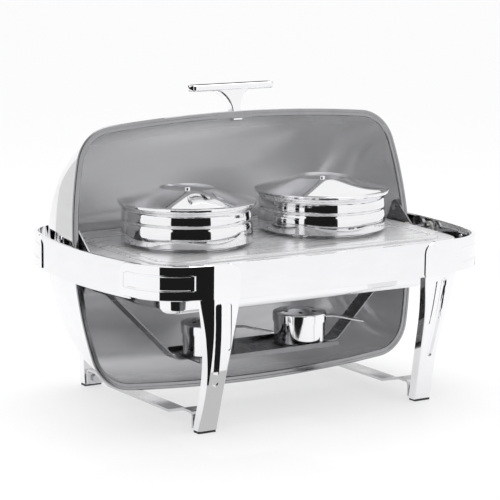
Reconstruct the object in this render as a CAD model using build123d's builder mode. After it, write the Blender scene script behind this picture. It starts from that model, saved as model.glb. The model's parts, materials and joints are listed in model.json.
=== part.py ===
"""Roll-top chafing dish with two lidded soup pots, built as the real one comes apart.

The stand is four cast corner legs joined by four sheet bands. Two fixed pivot studs reach in
from the side bands and carry the pan carrier. The half-barrel cover turns about the same studs,
in the gap between the bands and the carrier. +Z is up, the feet stand on Z = 0 and -Y is the front.
"""

import math
import os

from build123d import *

os.makedirs("parts", exist_ok=True)

# ---------------------------------------------------------------- driving sizes (millimetres)
# Stand
band_height = 55.0
band_wall = 2.0
band_lip = 4.0
band_lip_wall = 1.5
side_bow = 33.0
front_bow = 13.0
corner_radius = 66.0

# Cast corner legs
leg_front_reach = 158.0  # from the end of the frame to the leg's inner edge
leg_side_reach = 105.0  # from the front of the frame to the casting's edge on the side band
leg_skin = 1.8  # how far the casting stands proud of the bands
leg_lap = 2.5  # casting behind a band's end
band_tuck = 20.0  # length of band held inside a casting
leg_seam_radius = 18.0
corner_band_height = 47.0  # the casting is a little lower than the bands beside the leg
inset_height = 25.0
inset_depth = 1.0
inset_margin = 8.0
leg_lean = 40.5
foot_width = 32.0
foot_depth = 17.0
foot_inner_shift = 15.0
pad_height = 3.0
pad_margin = 1.0
flute_width = 10.0
flute_depth = 2.0
flute_top_gap = 4.0  # below the band
long_flute_shift = 28.0  # from the leg's inner edge to the flute's foot
long_flute_run = 10.0
short_flute_shift = 14.0
short_flute_run = 6.0

# Fasteners
stud_radius = 2.0
stud_clearance = 0.1
stud_pitch = 24.0
band_nut_across = 7.0
band_nut_height = 2.4
stud_tail = 0.4
thread_gap = 0.05
spot_radius = 5.0  # flat seats for the nuts on the inside of the casting
front_spot_depth = 0.4
side_spot_depth = 1.0

# Braces between front and rear feet
brace_width = 29.0
brace_wall = 4.0
brace_low = 15.0  # underside at mid span
brace_high = 27.0  # underside beside the feet
brace_end_run = 28.0  # level part beside each foot
brace_slope_run = 45.0
brace_bend_radius = 5.0
brace_tab_bottom = 5.0
brace_bolt_height = 14.0
brace_bolt_radius = 4.0
brace_bolt_reach = 12.0  # into the leg
brace_bolt_across = 13.0
brace_bolt_head = 5.0
brace_boss_radius = 9.0
brace_boss_rise = 2.0

# Cover pivot
pivot_drop = 24.0  # below the top of the frame
stud_body_radius = 9.0
stud_flange_radius = 22.0
stud_flange_wall = 3.0
stud_end_radius = 6.0
stud_nut_across = 19.0
stud_nut_height = 8.0
stud_nut_dome = 4.0
bush_wall = 3.0
bush_flange = 2.0
bush_flange_wall = 1.5
bush_running_gap = 0.05

# Roll-top cover, drawn where it stands half open
cover_side_gap = 9.0  # frame outline to rim outline at the ends
cover_front_gap = 12.0  # frame outline to rim outline at the front
cover_floor_gap = 31.0  # lowest sweep of the cover above the table
cover_tilt = 9.0  # degrees that the handle edge leans behind vertical
rim_offset = 16.0  # rim face behind the pivot axis
rim_width = 11.0
rim_wall = 5.0
rim_front_bow = 16.0
rim_corner_radius = 68.0
shell_inset = 7.0  # rim outline to shell outline
shell_wall = 1.0
shell_side_bow = 34.0
shell_front_bow = 16.0
shell_corner_radius = 61.0

# Cover handle
handle_angle = 8.2  # degrees behind the rim plane
handle_length = 158.0
handle_stand = 56.0  # top of the bar above the shell
handle_bar_wall = 11.0
handle_bar_width = 22.0
handle_stem_width = 20.0
handle_stem_wall = 13.0
handle_flare = 26.0
handle_screw_pitch = 11.0
handle_screw_radius = 2.0
handle_screw_depth = 14.0
screw_head_wall = 2.4

# Pivot arms inside the cover's ends
arm_wall = 2.5
arm_gap = 7.5  # carrier's end to the arm
arm_eye_radius = 16.0
arm_reach = 70.0
arm_spread = 52.0
arm_base = 30.0
arm_corner_radius = 10.0
arm_screw_radius = 2.5
arm_screw_head = 5.0
arm_screw_bite = 2.4
arm_foot_screw_inset = 15.0
arm_side_screw_inset = 12.0
arm_side_screw_drop = 2.0
arm_boss_radius = 6.0

# Pan carrier
carrier_side_gap = 17.0  # shell outline to carrier outline at the ends
carrier_front_gap = 31.0
carrier_side_deck = 32.0  # carrier outline beyond the pan's flange
carrier_front_deck = 17.5
carrier_side_bow = 14.0
carrier_front_bow = 7.0
carrier_corner_radius = 36.0
carrier_drop = 2.0  # carrier's top below the level of the closed rim
carrier_wall = 2.0
carrier_skirt = 11.0
carrier_bead = 2.5
carrier_bead_reach = 1.0
carrier_notch_gap = 2.0
end_plate_wall = 3.0
end_plate_width = 92.0
end_plate_inset = 16.0
end_plate_drop = 64.0
end_plate_corner = 20.0

# Water pan and pot plate. The carrier, the cover and the stand are sized round the pan.
pan_length = 530.0
pan_width = 325.0
pan_flange = 14.0
pan_flange_wall = 1.2
pan_wall = 1.5
pan_depth = 64.0
pan_taper = 4.0
pan_corner = 32.0
pan_floor_radius = 8.0
pan_clearance = 1.5
plate_wall = 1.2
plate_gap = 0.3
plate_ridge = 1.6
plate_ridge_width = 4.0
plate_ridge_inset = 10.0

# Soup pots and their lids
pot_spacing = 257.0
pot_wall = 1.5
pot_neck_radius = 80.0  # where the pot passes through the plate
pot_hole_gap = 1.0
pot_collar_radius = 89.0
pot_collar_wall = 2.6
pot_bulge_radius = 105.0
pot_groove_radius = 100.0
pot_throat_radius = 97.0
pot_mouth_radius = 109.0
pot_bend_radius = 6.0
pot_height = 67.0  # plate to mouth
pot_sink = 58.0  # plate down to the pot's floor
lid_wall = 1.2
lid_overhang = 1.0
lid_rise = 21.0
lid_top_radius = 43.5
lid_dish = 3.0
lid_dish_run = 5.5
lid_plug_gap = 1.6
lid_plug_height = 4.5
knob_radius = 5.0
knob_height = 3.0

# Burners and the shelf that they stand on
shelf_height = 74.0
shelf_length = 266.0
shelf_width = 100.0
shelf_wall = 2.0
shelf_lip = 6.0
shelf_ring_wall = 2.0
shelf_ring_height = 1.5
strap_width = 30.0
strap_bend_run = 20.0
strap_bend_radius = 18.0
strap_foot_low = 46.5  # sharp bend of the strap below the pivot axis
strap_foot_high = 20.0
shelf_screw_radius = 2.5
shelf_screw_pitch = 16.0
shelf_screw_drop = 29.0
burner_spacing = 176.0
burner_radius = 42.0
burner_wall = 1.5
burner_height = 50.0
burner_lid_gap = 0.6
burner_lid_wall = 1.5
burner_skirt = 13.0
burner_dome = 5.0
burner_vent_radius = 3.5
burner_vent_circle = 26.0
burner_bend_radius = 2.0
burner_handle_angle = -22.0
burner_handle_length = 64.0
burner_handle_width = 12.0
burner_handle_wall = 2.0
burner_handle_drop = 11.0

# ---------------------------------------------------------------- derived sizes
carrier_half_length = pan_length / 2 + carrier_side_deck
carrier_half_depth = pan_width / 2 + carrier_front_deck
shell_half_length = carrier_half_length + carrier_side_gap
shell_half_depth = carrier_half_depth + carrier_front_gap
rim_half_length = shell_half_length + shell_inset
rim_half_depth = shell_half_depth + shell_inset
half_length = rim_half_length + cover_side_gap
half_depth = rim_half_depth + cover_front_gap

pivot_height = shell_half_depth + cover_floor_gap
frame_top = pivot_height + pivot_drop
band_bottom = frame_top - band_height
tilt = math.radians(cover_tilt)
carrier_top = pivot_height + rim_offset - carrier_drop
plate_bottom = carrier_top + pan_flange_wall
plate_top = plate_bottom + plate_wall

pivot_axis = Axis((0, 0, pivot_height), (-1, 0, 0))
cover_plane = Plane(
    origin=(0, 0, pivot_height),
    x_dir=(1, 0, 0),
    z_dir=(0, -math.cos(tilt), math.sin(tilt)),
)
rim_back = cover_plane.offset(-rim_offset - rim_wall)
far = 2 * half_length


# ---------------------------------------------------------------- shared helpers
def bowed_rectangle(length, end_bow, depth, face_bow, radius, grow=0.0):
    """A rectangle with bowed sides and round corners, from its half sizes at mid side.

    With grow, each arc keeps its centre and its radius changes, so walls have an even thickness.
    """
    corner_x = length - end_bow
    corner_y = depth - face_bow
    if grow:
        end_radius = (end_bow**2 + corner_y**2) / (2 * end_bow)
        face_radius = (face_bow**2 + corner_x**2) / (2 * face_bow)
        # the corner is where the two grown arcs cross
        to_x = end_radius - length
        to_y = face_radius - depth
        apart = math.hypot(to_x, to_y)
        end_grown = end_radius + grow
        face_grown = face_radius + grow
        along = (end_grown**2 - face_grown**2 + apart**2) / (2 * apart)
        across = math.sqrt(end_grown**2 - along**2)
        corner_x = -to_x + (along * to_x + across * to_y) / apart
        corner_y = (across * to_x - along * to_y) / apart
        length += grow
        depth += grow
    with BuildSketch() as outline:
        with BuildLine():
            ThreePointArc((-corner_x, corner_y), (0, depth), (corner_x, corner_y))
            ThreePointArc((corner_x, corner_y), (length, 0), (corner_x, -corner_y))
            ThreePointArc((corner_x, -corner_y), (0, -depth), (-corner_x, -corner_y))
            ThreePointArc((-corner_x, -corner_y), (-length, 0), (-corner_x, corner_y))
        make_face()
        fillet(outline.vertices(), radius + grow)
    return outline.sketch


def frame_outline(grow=0.0):
    """The stand's plan outline, moved out or in."""
    return bowed_rectangle(half_length, side_bow, half_depth, front_bow, corner_radius, grow)


def rim_outline(grow=0.0):
    """The outline of the cover's rim."""
    return bowed_rectangle(
        rim_half_length, side_bow, rim_half_depth, rim_front_bow, rim_corner_radius, grow
    )


def shell_outline(grow=0.0):
    """The profile that the cover's shell is turned from."""
    return bowed_rectangle(
        shell_half_length,
        shell_side_bow,
        shell_half_depth,
        shell_front_bow,
        shell_corner_radius,
        grow,
    )


def carrier_outline(grow=0.0):
    """The plan outline of the pan carrier."""
    return bowed_rectangle(
        carrier_half_length,
        carrier_side_bow,
        carrier_half_depth,
        carrier_front_bow,
        carrier_corner_radius,
        grow,
    )


def front_edge(x):
    """Half depth of the frame outline at a distance x from its middle."""
    reach = half_length - side_bow
    radius = (front_bow**2 + reach**2) / (2 * front_bow)
    return half_depth - radius + math.sqrt(radius**2 - x**2)


def side_edge(y):
    """Half length of the frame outline at a distance y from its middle."""
    reach = half_depth - front_bow
    radius = (side_bow**2 + reach**2) / (2 * side_bow)
    return half_length - radius + math.sqrt(radius**2 - y**2)


def write(part, name):
    """Label a finished piece and write it as a STEP file of its own."""
    part.label = name
    export_step(part, f"parts/{name}.step")


# ---------------------------------------------------------------- sheet bands of the stand
leg_inner = half_length - leg_front_reach
casting_edge = half_depth - leg_side_reach
front_band_reach = leg_inner + band_tuck
side_band_reach = casting_edge + band_tuck
stud_x = leg_inner + band_tuck / 2
stud_y = casting_edge + band_tuck / 2
band_middle = frame_top - band_height / 2
stud_levels = (band_middle - stud_pitch / 2, band_middle + stud_pitch / 2)
stud_length = leg_lap + band_nut_height + stud_tail
front_stud_face = front_edge(stud_x) - band_wall
side_stud_face = side_edge(stud_y) - band_wall
front_nut_seat = front_stud_face - leg_lap + front_spot_depth
side_nut_seat = side_stud_face - leg_lap + side_spot_depth

with BuildPart() as band_ring:
    with BuildSketch(Plane.XY.offset(band_bottom)):
        add(frame_outline())
        add(frame_outline(-band_wall), mode=Mode.SUBTRACT)
    extrude(amount=band_height)
    for level in (band_bottom, frame_top - band_lip_wall):
        with BuildSketch(Plane.XY.offset(level)):
            add(frame_outline())
            add(frame_outline(-band_lip), mode=Mode.SUBTRACT)
        extrude(amount=band_lip_wall)

with BuildPart() as rear_band:
    with BuildSketch():
        with Locations((0, half_depth)):
            Rectangle(2 * front_band_reach, half_depth)
    extrude(amount=far)
    add(band_ring.part, mode=Mode.INTERSECT)
    for level in stud_levels:
        for side in (-1, 1):
            stud_foot = (side * stud_x, front_stud_face + band_wall / 2, level)
            with BuildSketch(Plane(origin=stud_foot, z_dir=(0, -1, 0))):
                Circle(stud_radius)
            extrude(amount=stud_length + band_wall / 2)

with BuildPart() as right_band:
    with BuildSketch():
        with Locations((half_length, 0)):
            Rectangle(half_length, 2 * side_band_reach)
    extrude(amount=far)
    add(band_ring.part, mode=Mode.INTERSECT)
    for level in stud_levels:
        for side in (-1, 1):
            stud_foot = (side_stud_face + band_wall / 2, side * stud_y, level)
            with BuildSketch(Plane(origin=stud_foot, z_dir=(-1, 0, 0))):
                Circle(stud_radius)
            extrude(amount=stud_length + band_wall / 2)

front_band = mirror(rear_band.part, about=Plane.XZ)
left_band = mirror(right_band.part, about=Plane.YZ)
write(front_band, "front_band")
write(rear_band.part, "rear_band")
write(left_band, "left_band")
write(right_band.part, "right_band")

# ---------------------------------------------------------------- cast corner legs
# Stations from the foot up: share of the leg's height, inner edge, width, lean, depth, bevel.
leg_height = band_bottom - pad_height
leg_face = front_edge(leg_inner) + leg_skin
leg_stations = (
    (0.00, foot_inner_shift, foot_width, 1.00 * leg_lean, foot_depth, 3.0),
    (0.39, 0.73 * foot_inner_shift, foot_width + 1, 0.55 * leg_lean, foot_depth, 4.0),
    (0.71, 0.45 * foot_inner_shift, foot_width + 14, 0.19 * leg_lean, foot_depth - 1, 11.0),
    (1.00, 0.0, foot_width + 34, 0.0, foot_depth - 4, 20.0),
)
bevel_slope = 0.4
foot_middle = leg_inner + foot_inner_shift + foot_width / 2
brace_end = leg_face - leg_lean - foot_depth - brace_boss_rise
brace_high_reach = brace_end - brace_end_run
brace_low_reach = brace_high_reach - brace_slope_run


def leg_section(station):
    """Outline of the rear right leg at a station, from its inner edge to its bevelled corner."""
    _, shift, width, lean, depth, bevel = station
    face = leg_face - lean
    inner = leg_inner + shift
    outer = inner + width
    return Polyline(
        (inner, face),
        (inner, face - depth),
        (outer, face - depth),
        (outer, face - bevel_slope * bevel),
        (outer - bevel, face),
        close=True,
    )


def flute_tool(low, high, low_x, high_x):
    """Cutter for one shallow round-ended flute that follows the leg's face."""
    with BuildPart() as tool:
        for station in leg_stations:
            face = leg_face - station[3]
            with BuildSketch(Plane.XY.offset(pad_height + station[0] * leg_height)):
                with Locations((leg_inner + foot_width, face)):
                    Rectangle(4 * foot_width, 2 * flute_depth)
        loft()
        middle = ((low_x + high_x) / 2, 0, (low + high) / 2)
        lean_over = math.degrees(math.atan2(high_x - low_x, high - low))
        with BuildSketch(Plane(origin=middle, x_dir=(-1, 0, 0), z_dir=(0, 1, 0))):
            SlotOverall(high - low, flute_width, rotation=90 + lean_over)
        extrude(amount=far, mode=Mode.INTERSECT)
    return tool.part


flute_top = band_bottom - flute_top_gap
long_flute_foot = leg_inner + long_flute_shift
short_flute_foot = leg_inner + short_flute_shift
long_flute = flute_tool(
    0.36 * band_bottom, flute_top, long_flute_foot, long_flute_foot + long_flute_run
)
short_flute = flute_tool(
    0.62 * band_bottom, flute_top, short_flute_foot, short_flute_foot + short_flute_run
)

corner_bottom = frame_top - corner_band_height
pad_top_station = leg_stations[-1]
with BuildPart() as leg_rear_right:
    # the part that wraps the corner
    with BuildSketch(Plane.XY.offset(corner_bottom)):
        add(frame_outline(leg_skin))
        add(frame_outline(-band_wall - leg_lap), mode=Mode.SUBTRACT)
        with Locations((leg_inner + far / 2, casting_edge + far / 2)):
            Rectangle(far, far, mode=Mode.INTERSECT)
    extrude(amount=corner_band_height)
    # seams with a round upper corner, seen from the rear and from the side
    with BuildSketch(Plane.XZ):
        with Locations((leg_inner + far / 2, frame_top - far / 2)):
            RectangleRounded(far, far, leg_seam_radius)
    extrude(amount=-far, mode=Mode.INTERSECT)
    with BuildSketch(Plane.YZ):
        with Locations((casting_edge + far / 2, frame_top - far / 2)):
            RectangleRounded(far, far, leg_seam_radius)
    extrude(amount=far, mode=Mode.INTERSECT)
    # recessed panel round the corner
    inset_low = (corner_bottom + frame_top - inset_height) / 2
    with BuildSketch(Plane.XY.offset(inset_low)):
        add(frame_outline(leg_skin))
        add(frame_outline(leg_skin - inset_depth), mode=Mode.SUBTRACT)
        inset_x = leg_inner + foot_width + 34 + inset_margin
        inset_y = casting_edge + inset_margin
        with Locations((inset_x + far / 2, inset_y + far / 2)):
            Rectangle(far, far, mode=Mode.INTERSECT)
    extrude(amount=inset_height, mode=Mode.SUBTRACT)
    # the leg itself, with a short block that runs up behind the corner
    for station in leg_stations:
        with BuildSketch(Plane.XY.offset(pad_height + station[0] * leg_height)):
            with BuildLine():
                leg_section(station)
            make_face()
    loft()
    with BuildSketch(Plane.XY.offset(band_bottom)):
        with BuildLine():
            leg_section(pad_top_station)
        make_face()
    extrude(amount=corner_bottom - band_bottom + 4)
    # two flutes on the face
    add(long_flute, mode=Mode.SUBTRACT)
    add(short_flute, mode=Mode.SUBTRACT)
    # boss for the brace bolt, with a blind hole
    with BuildSketch(Plane(origin=(foot_middle, brace_end, brace_bolt_height), z_dir=(0, 1, 0))):
        Circle(brace_boss_radius)
    extrude(amount=brace_bolt_reach)
    with BuildSketch(Plane(origin=(foot_middle, brace_end, brace_bolt_height), z_dir=(0, 1, 0))):
        Circle(brace_bolt_radius + stud_clearance)
    extrude(amount=brace_bolt_reach + 1, mode=Mode.SUBTRACT)
    # pockets for the band ends, holes for their studs and flat seats for the nuts
    add(rear_band.part, mode=Mode.SUBTRACT)
    add(right_band.part, mode=Mode.SUBTRACT)
    for level in stud_levels:
        with BuildSketch(Plane(origin=(stud_x, front_stud_face, level), z_dir=(0, -1, 0))):
            Circle(stud_radius + stud_clearance)
        extrude(amount=2 * stud_length, mode=Mode.SUBTRACT)
        with BuildSketch(Plane(origin=(stud_x, front_nut_seat, level), z_dir=(0, -1, 0))):
            Circle(spot_radius)
        extrude(amount=2 * stud_length, mode=Mode.SUBTRACT)
        with BuildSketch(Plane(origin=(side_stud_face, stud_y, level), z_dir=(-1, 0, 0))):
            Circle(stud_radius + stud_clearance)
        extrude(amount=2 * stud_length, mode=Mode.SUBTRACT)
        with BuildSketch(Plane(origin=(side_nut_seat, stud_y, level), z_dir=(-1, 0, 0))):
            Circle(spot_radius)
        extrude(amount=2 * stud_length, mode=Mode.SUBTRACT)

write(leg_rear_right.part, "leg_rear_right")
write(mirror(leg_rear_right.part, about=Plane.YZ), "leg_rear_left")
write(mirror(leg_rear_right.part, about=Plane.XZ), "leg_front_right")
write(mirror(mirror(leg_rear_right.part, about=Plane.YZ), about=Plane.XZ), "leg_front_left")

# ---------------------------------------------------------------- nuts, pads and braces
with BuildPart() as band_nuts:
    for level in stud_levels:
        for side_x in (-1, 1):
            for side_y in (-1, 1):
                front_seat = (side_x * stud_x, side_y * front_nut_seat, level)
                with BuildSketch(Plane(origin=front_seat, z_dir=(0, -side_y, 0))):
                    RegularPolygon(band_nut_across / 2, 6, major_radius=False)
                    Circle(stud_radius + thread_gap, mode=Mode.SUBTRACT)
                extrude(amount=band_nut_height)
                side_seat = (side_x * side_nut_seat, side_y * stud_y, level)
                with BuildSketch(Plane(origin=side_seat, z_dir=(-side_x, 0, 0))):
                    RegularPolygon(band_nut_across / 2, 6, major_radius=False)
                    Circle(stud_radius + thread_gap, mode=Mode.SUBTRACT)
                extrude(amount=band_nut_height)

with BuildPart() as foot_pads:
    with BuildSketch():
        with BuildLine():
            leg_section(leg_stations[0])
        make_face()
        offset(amount=-pad_margin)
    extrude(amount=pad_height)
    mirror(about=Plane.YZ)
    mirror(about=Plane.XZ)

with BuildPart() as right_brace:
    with BuildSketch(Plane.YZ.offset(foot_middle)):
        with BuildLine():
            FilletPolyline(
                (-brace_end + brace_wall, brace_tab_bottom),
                (-brace_end + brace_wall, brace_high),
                (-brace_high_reach, brace_high),
                (-brace_low_reach, brace_low),
                (brace_low_reach, brace_low),
                (brace_high_reach, brace_high),
                (brace_end - brace_wall, brace_high),
                (brace_end - brace_wall, brace_tab_bottom),
                radius=brace_bend_radius,
            )
            offset(amount=brace_wall, side=Side.LEFT)
        make_face()
    extrude(amount=brace_width / 2, both=True)
    for side in (-1, 1):
        hole_foot = (foot_middle, side * (brace_end - 2 * brace_wall), brace_bolt_height)
        with BuildSketch(Plane(origin=hole_foot, z_dir=(0, side, 0))):
            Circle(brace_bolt_radius + stud_clearance)
        extrude(amount=4 * brace_wall, mode=Mode.SUBTRACT)

with BuildPart() as brace_bolts:
    head_seat = (foot_middle, brace_end - brace_wall, brace_bolt_height)
    with BuildSketch(Plane(origin=head_seat, z_dir=(0, 1, 0))):
        RegularPolygon(brace_bolt_across / 2, 6, major_radius=False)
    extrude(amount=-brace_bolt_head)
    with BuildSketch(Plane(origin=head_seat, z_dir=(0, 1, 0))):
        Circle(brace_bolt_radius)
    extrude(amount=brace_wall + brace_bolt_reach)
    mirror(about=Plane.YZ)
    mirror(about=Plane.XZ)

write(band_nuts.part, "band_nuts")
write(foot_pads.part, "foot_pads")
write(right_brace.part, "right_brace")
write(mirror(right_brace.part, about=Plane.YZ), "left_brace")
write(brace_bolts.part, "brace_bolts")

# ---------------------------------------------------------------- pivot studs and pan carrier
end_plate_outer = carrier_half_length - end_plate_inset
end_plate_inner = end_plate_outer - end_plate_wall
stud_flange_face = half_length - band_wall - stud_flange_wall
stud_end_reach = end_plate_wall + stud_nut_height - 1

with BuildPart() as right_pivot_stud:
    # flange, shaped to the inside of the band
    with BuildSketch(Plane.YZ.offset(stud_flange_face)):
        with Locations((0, pivot_height)):
            Circle(stud_flange_radius)
    extrude(amount=2 * stud_flange_wall)
    with BuildSketch():
        add(frame_outline(-band_wall))
    extrude(amount=far, mode=Mode.INTERSECT)
    # journal that the cover turns on
    with BuildSketch(Plane.YZ.offset(end_plate_outer)):
        with Locations((0, pivot_height)):
            Circle(stud_body_radius)
    extrude(amount=stud_flange_face - end_plate_outer)
    # threaded end through the carrier's end plate
    with BuildSketch(Plane.YZ.offset(end_plate_outer - stud_end_reach)):
        with Locations((0, pivot_height)):
            Circle(stud_end_radius)
    extrude(amount=stud_end_reach)

with BuildPart() as stud_nuts:
    with BuildSketch(Plane.YZ.offset(end_plate_inner)):
        with Locations((0, pivot_height)):
            RegularPolygon(stud_nut_across / 2, 6, major_radius=False)
    extrude(amount=-stud_nut_height)
    with BuildSketch(Plane.YZ.offset(end_plate_inner - stud_nut_height)):
        with Locations((0, pivot_height)):
            Circle(stud_nut_across / 2 - 1)
    extrude(amount=-stud_nut_dome)
    fillet(stud_nuts.faces().sort_by(Axis.X)[0].edges(), stud_nut_dome - 0.5)
    with BuildSketch(Plane.YZ.offset(end_plate_inner)):
        with Locations((0, pivot_height)):
            Circle(stud_end_radius + thread_gap)
    extrude(amount=-stud_nut_height, mode=Mode.SUBTRACT)
    mirror(about=Plane.YZ)

with BuildPart() as carrier_end_right:
    with BuildSketch(Plane.YZ.offset(end_plate_inner)) as end_plate:
        with Locations((0, carrier_top - carrier_wall - end_plate_drop / 2)):
            Rectangle(end_plate_width, end_plate_drop)
        fillet(end_plate.vertices().group_by(Axis.Y)[0], end_plate_corner)
        with Locations((0, pivot_height)):
            Circle(stud_end_radius + thread_gap, mode=Mode.SUBTRACT)
        for side in (-1, 1):
            with Locations((side * shelf_screw_pitch / 2, pivot_height - shelf_screw_drop)):
                Circle(shelf_screw_radius + stud_clearance, mode=Mode.SUBTRACT)
    extrude(amount=end_plate_wall)

pan_mouth_length = pan_length - 2 * pan_flange
pan_mouth_width = pan_width - 2 * pan_flange

with BuildPart() as pan_carrier:
    with BuildSketch(Plane.XY.offset(carrier_top - carrier_wall)):
        add(carrier_outline())
        RectangleRounded(
            pan_mouth_length + 2 * pan_clearance,
            pan_mouth_width + 2 * pan_clearance,
            pan_corner + pan_clearance,
            mode=Mode.SUBTRACT,
        )
    extrude(amount=carrier_wall)
    with BuildSketch(Plane.XY.offset(carrier_top - carrier_skirt)):
        add(carrier_outline())
        add(carrier_outline(-carrier_wall), mode=Mode.SUBTRACT)
    extrude(amount=carrier_skirt - carrier_wall)
    # hem round the foot of the skirt
    with BuildSketch(Plane.XY.offset(carrier_top - carrier_skirt)):
        add(carrier_outline(carrier_bead_reach))
        add(carrier_outline(-carrier_wall), mode=Mode.SUBTRACT)
    extrude(amount=carrier_bead)
    # notches in the skirt where the pivot studs pass
    with BuildSketch(Plane.YZ):
        notch_half_width = stud_body_radius + carrier_notch_gap
        with Locations((0, carrier_top - carrier_wall - carrier_notch_gap / 2 - far / 2)):
            Rectangle(2 * notch_half_width, far)
    extrude(amount=far, both=True, mode=Mode.SUBTRACT)

write(right_pivot_stud.part, "right_pivot_stud")
write(mirror(right_pivot_stud.part, about=Plane.YZ), "left_pivot_stud")
write(stud_nuts.part, "stud_nuts")
write(carrier_end_right.part, "carrier_end_right")
write(mirror(carrier_end_right.part, about=Plane.YZ), "carrier_end_left")
write(pan_carrier.part, "pan_carrier")

# ---------------------------------------------------------------- water pan and pot plate
with BuildPart() as pan_hollow:
    with BuildSketch(Plane.XY.offset(plate_bottom)):
        RectangleRounded(
            pan_mouth_length - 2 * pan_wall, pan_mouth_width - 2 * pan_wall, pan_corner - pan_wall
        )
    extrude(amount=pan_wall - pan_depth - pan_flange_wall, taper=pan_taper)
    fillet(pan_hollow.faces().sort_by(Axis.Z)[0].edges(), pan_floor_radius - pan_wall)

with BuildPart() as water_pan:
    with BuildSketch(Plane.XY.offset(plate_bottom)):
        RectangleRounded(pan_mouth_length, pan_mouth_width, pan_corner)
    extrude(amount=-pan_depth - pan_flange_wall, taper=pan_taper)
    fillet(water_pan.faces().sort_by(Axis.Z)[0].edges(), pan_floor_radius)
    with BuildSketch(Plane.XY.offset(carrier_top)):
        RectangleRounded(pan_length, pan_width, pan_corner + pan_flange)
    extrude(amount=pan_flange_wall)
    add(pan_hollow.part, mode=Mode.SUBTRACT)

pot_offset = pot_spacing / 2
with BuildPart() as pot_plate:
    plate_reach = plate_gap + plate_wall
    with BuildSketch(Plane.XY.offset(plate_bottom)):
        RectangleRounded(
            pan_length + 2 * plate_reach,
            pan_width + 2 * plate_reach,
            pan_corner + pan_flange + plate_reach,
        )
    extrude(amount=plate_wall)
    # lip that keeps the plate on the pan's flange
    with BuildSketch(Plane.XY.offset(carrier_top + plate_gap)):
        RectangleRounded(
            pan_length + 2 * plate_reach,
            pan_width + 2 * plate_reach,
            pan_corner + pan_flange + plate_reach,
        )
        RectangleRounded(
            pan_length + 2 * plate_gap,
            pan_width + 2 * plate_gap,
            pan_corner + pan_flange + plate_gap,
            mode=Mode.SUBTRACT,
        )
    extrude(amount=pan_flange_wall - plate_gap)
    # raised ridge
    ridge_outer = 2 * plate_ridge_inset
    ridge_inner = 2 * (plate_ridge_inset + plate_ridge_width)
    with BuildSketch(Plane.XY.offset(plate_top)):
        RectangleRounded(
            pan_length - ridge_outer,
            pan_width - ridge_outer,
            pan_corner + pan_flange - plate_ridge_inset,
        )
        RectangleRounded(
            pan_length - ridge_inner,
            pan_width - ridge_inner,
            pan_corner + pan_flange - plate_ridge_inset - plate_ridge_width,
            mode=Mode.SUBTRACT,
        )
    extrude(amount=plate_ridge)
    # holes for the pots
    with BuildSketch(Plane.XY.offset(carrier_top)):
        with Locations((-pot_offset, 0), (pot_offset, 0)):
            Circle(pot_neck_radius + pot_hole_gap)
    extrude(amount=2 * pan_flange, mode=Mode.SUBTRACT)

write(water_pan.part, "water_pan")
write(pot_plate.part, "pot_plate")

# ---------------------------------------------------------------- soup pots and lids
pot_top = plate_top + pot_height
pot_floor = plate_top - pot_sink

with BuildPart() as pot:
    with BuildSketch(Plane.XZ):
        with BuildLine():
            FilletPolyline(
                (0, pot_floor),
                (pot_neck_radius, pot_floor),
                (pot_neck_radius, plate_top + 0.07 * pot_height),
                (pot_bulge_radius, plate_top + 0.15 * pot_height),
                (pot_bulge_radius, plate_top + 0.31 * pot_height),
                (pot_groove_radius - 1, plate_top + 0.44 * pot_height),
                (pot_bulge_radius + 1, plate_top + 0.59 * pot_height),
                (pot_throat_radius - 2, plate_top + 0.75 * pot_height),
                (pot_mouth_radius, pot_top - pot_bend_radius),
                (pot_mouth_radius, pot_top),
                radius=pot_bend_radius,
            )
            offset(amount=pot_wall, side=Side.LEFT)
        make_face()
    revolve(axis=Axis.Z)
    # collar that hangs the pot on the plate
    with BuildSketch(Plane.XY.offset(plate_top)):
        Circle(pot_collar_radius)
        Circle(pot_neck_radius - pot_wall / 2, mode=Mode.SUBTRACT)
    extrude(amount=pot_collar_wall)

lid_edge = pot_mouth_radius + lid_overhang
lid_slope = (lid_rise - lid_wall) / (lid_edge - lid_top_radius)
lid_drop = lid_wall * math.hypot(1, lid_slope)  # wall measured straight down
plug_outer = pot_mouth_radius - pot_wall - lid_plug_gap
plug_inner = plug_outer - lid_wall
lid_top = pot_top + lid_rise
dish_level = lid_top - lid_dish

with BuildPart() as lid:
    with BuildSketch(Plane.XZ):
        with BuildLine():
            Polyline(
                (0, dish_level),
                (lid_top_radius - lid_dish_run, dish_level),
                (lid_top_radius, lid_top),
                (lid_edge, pot_top + lid_wall),
                (lid_edge, pot_top),
                (plug_outer, pot_top),
                (plug_outer, pot_top - lid_plug_height),
                (plug_inner, pot_top - lid_plug_height),
                (plug_inner, pot_top + lid_wall + (lid_edge - plug_inner) * lid_slope - lid_drop),
                (lid_top_radius, lid_top - lid_drop),
                (lid_top_radius - lid_dish_run, dish_level - lid_wall),
                (0, dish_level - lid_wall),
                close=True,
            )
        make_face()
    revolve(axis=Axis.Z)

with BuildPart() as lid_knob:
    with BuildSketch(Plane.XY.offset(dish_level)):
        Circle(knob_radius)
    extrude(amount=knob_height)
    fillet(lid_knob.faces().sort_by(Axis.Z)[-1].edges(), knob_height / 3)

for side, word in ((-1, "left"), (1, "right")):
    pot_place = Location((side * pot_offset, 0, 0))
    write(pot.part.moved(pot_place), f"pot_{word}")
    write(lid.part.moved(pot_place), f"lid_{word}")
    write(lid_knob.part.moved(pot_place), f"lid_knob_{word}")

# ---------------------------------------------------------------- burner shelf and burners
burner_offset = burner_spacing / 2
strap_low = pivot_height - strap_foot_low
strap_high = pivot_height - strap_foot_high
shelf_screw_height = pivot_height - shelf_screw_drop

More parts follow.
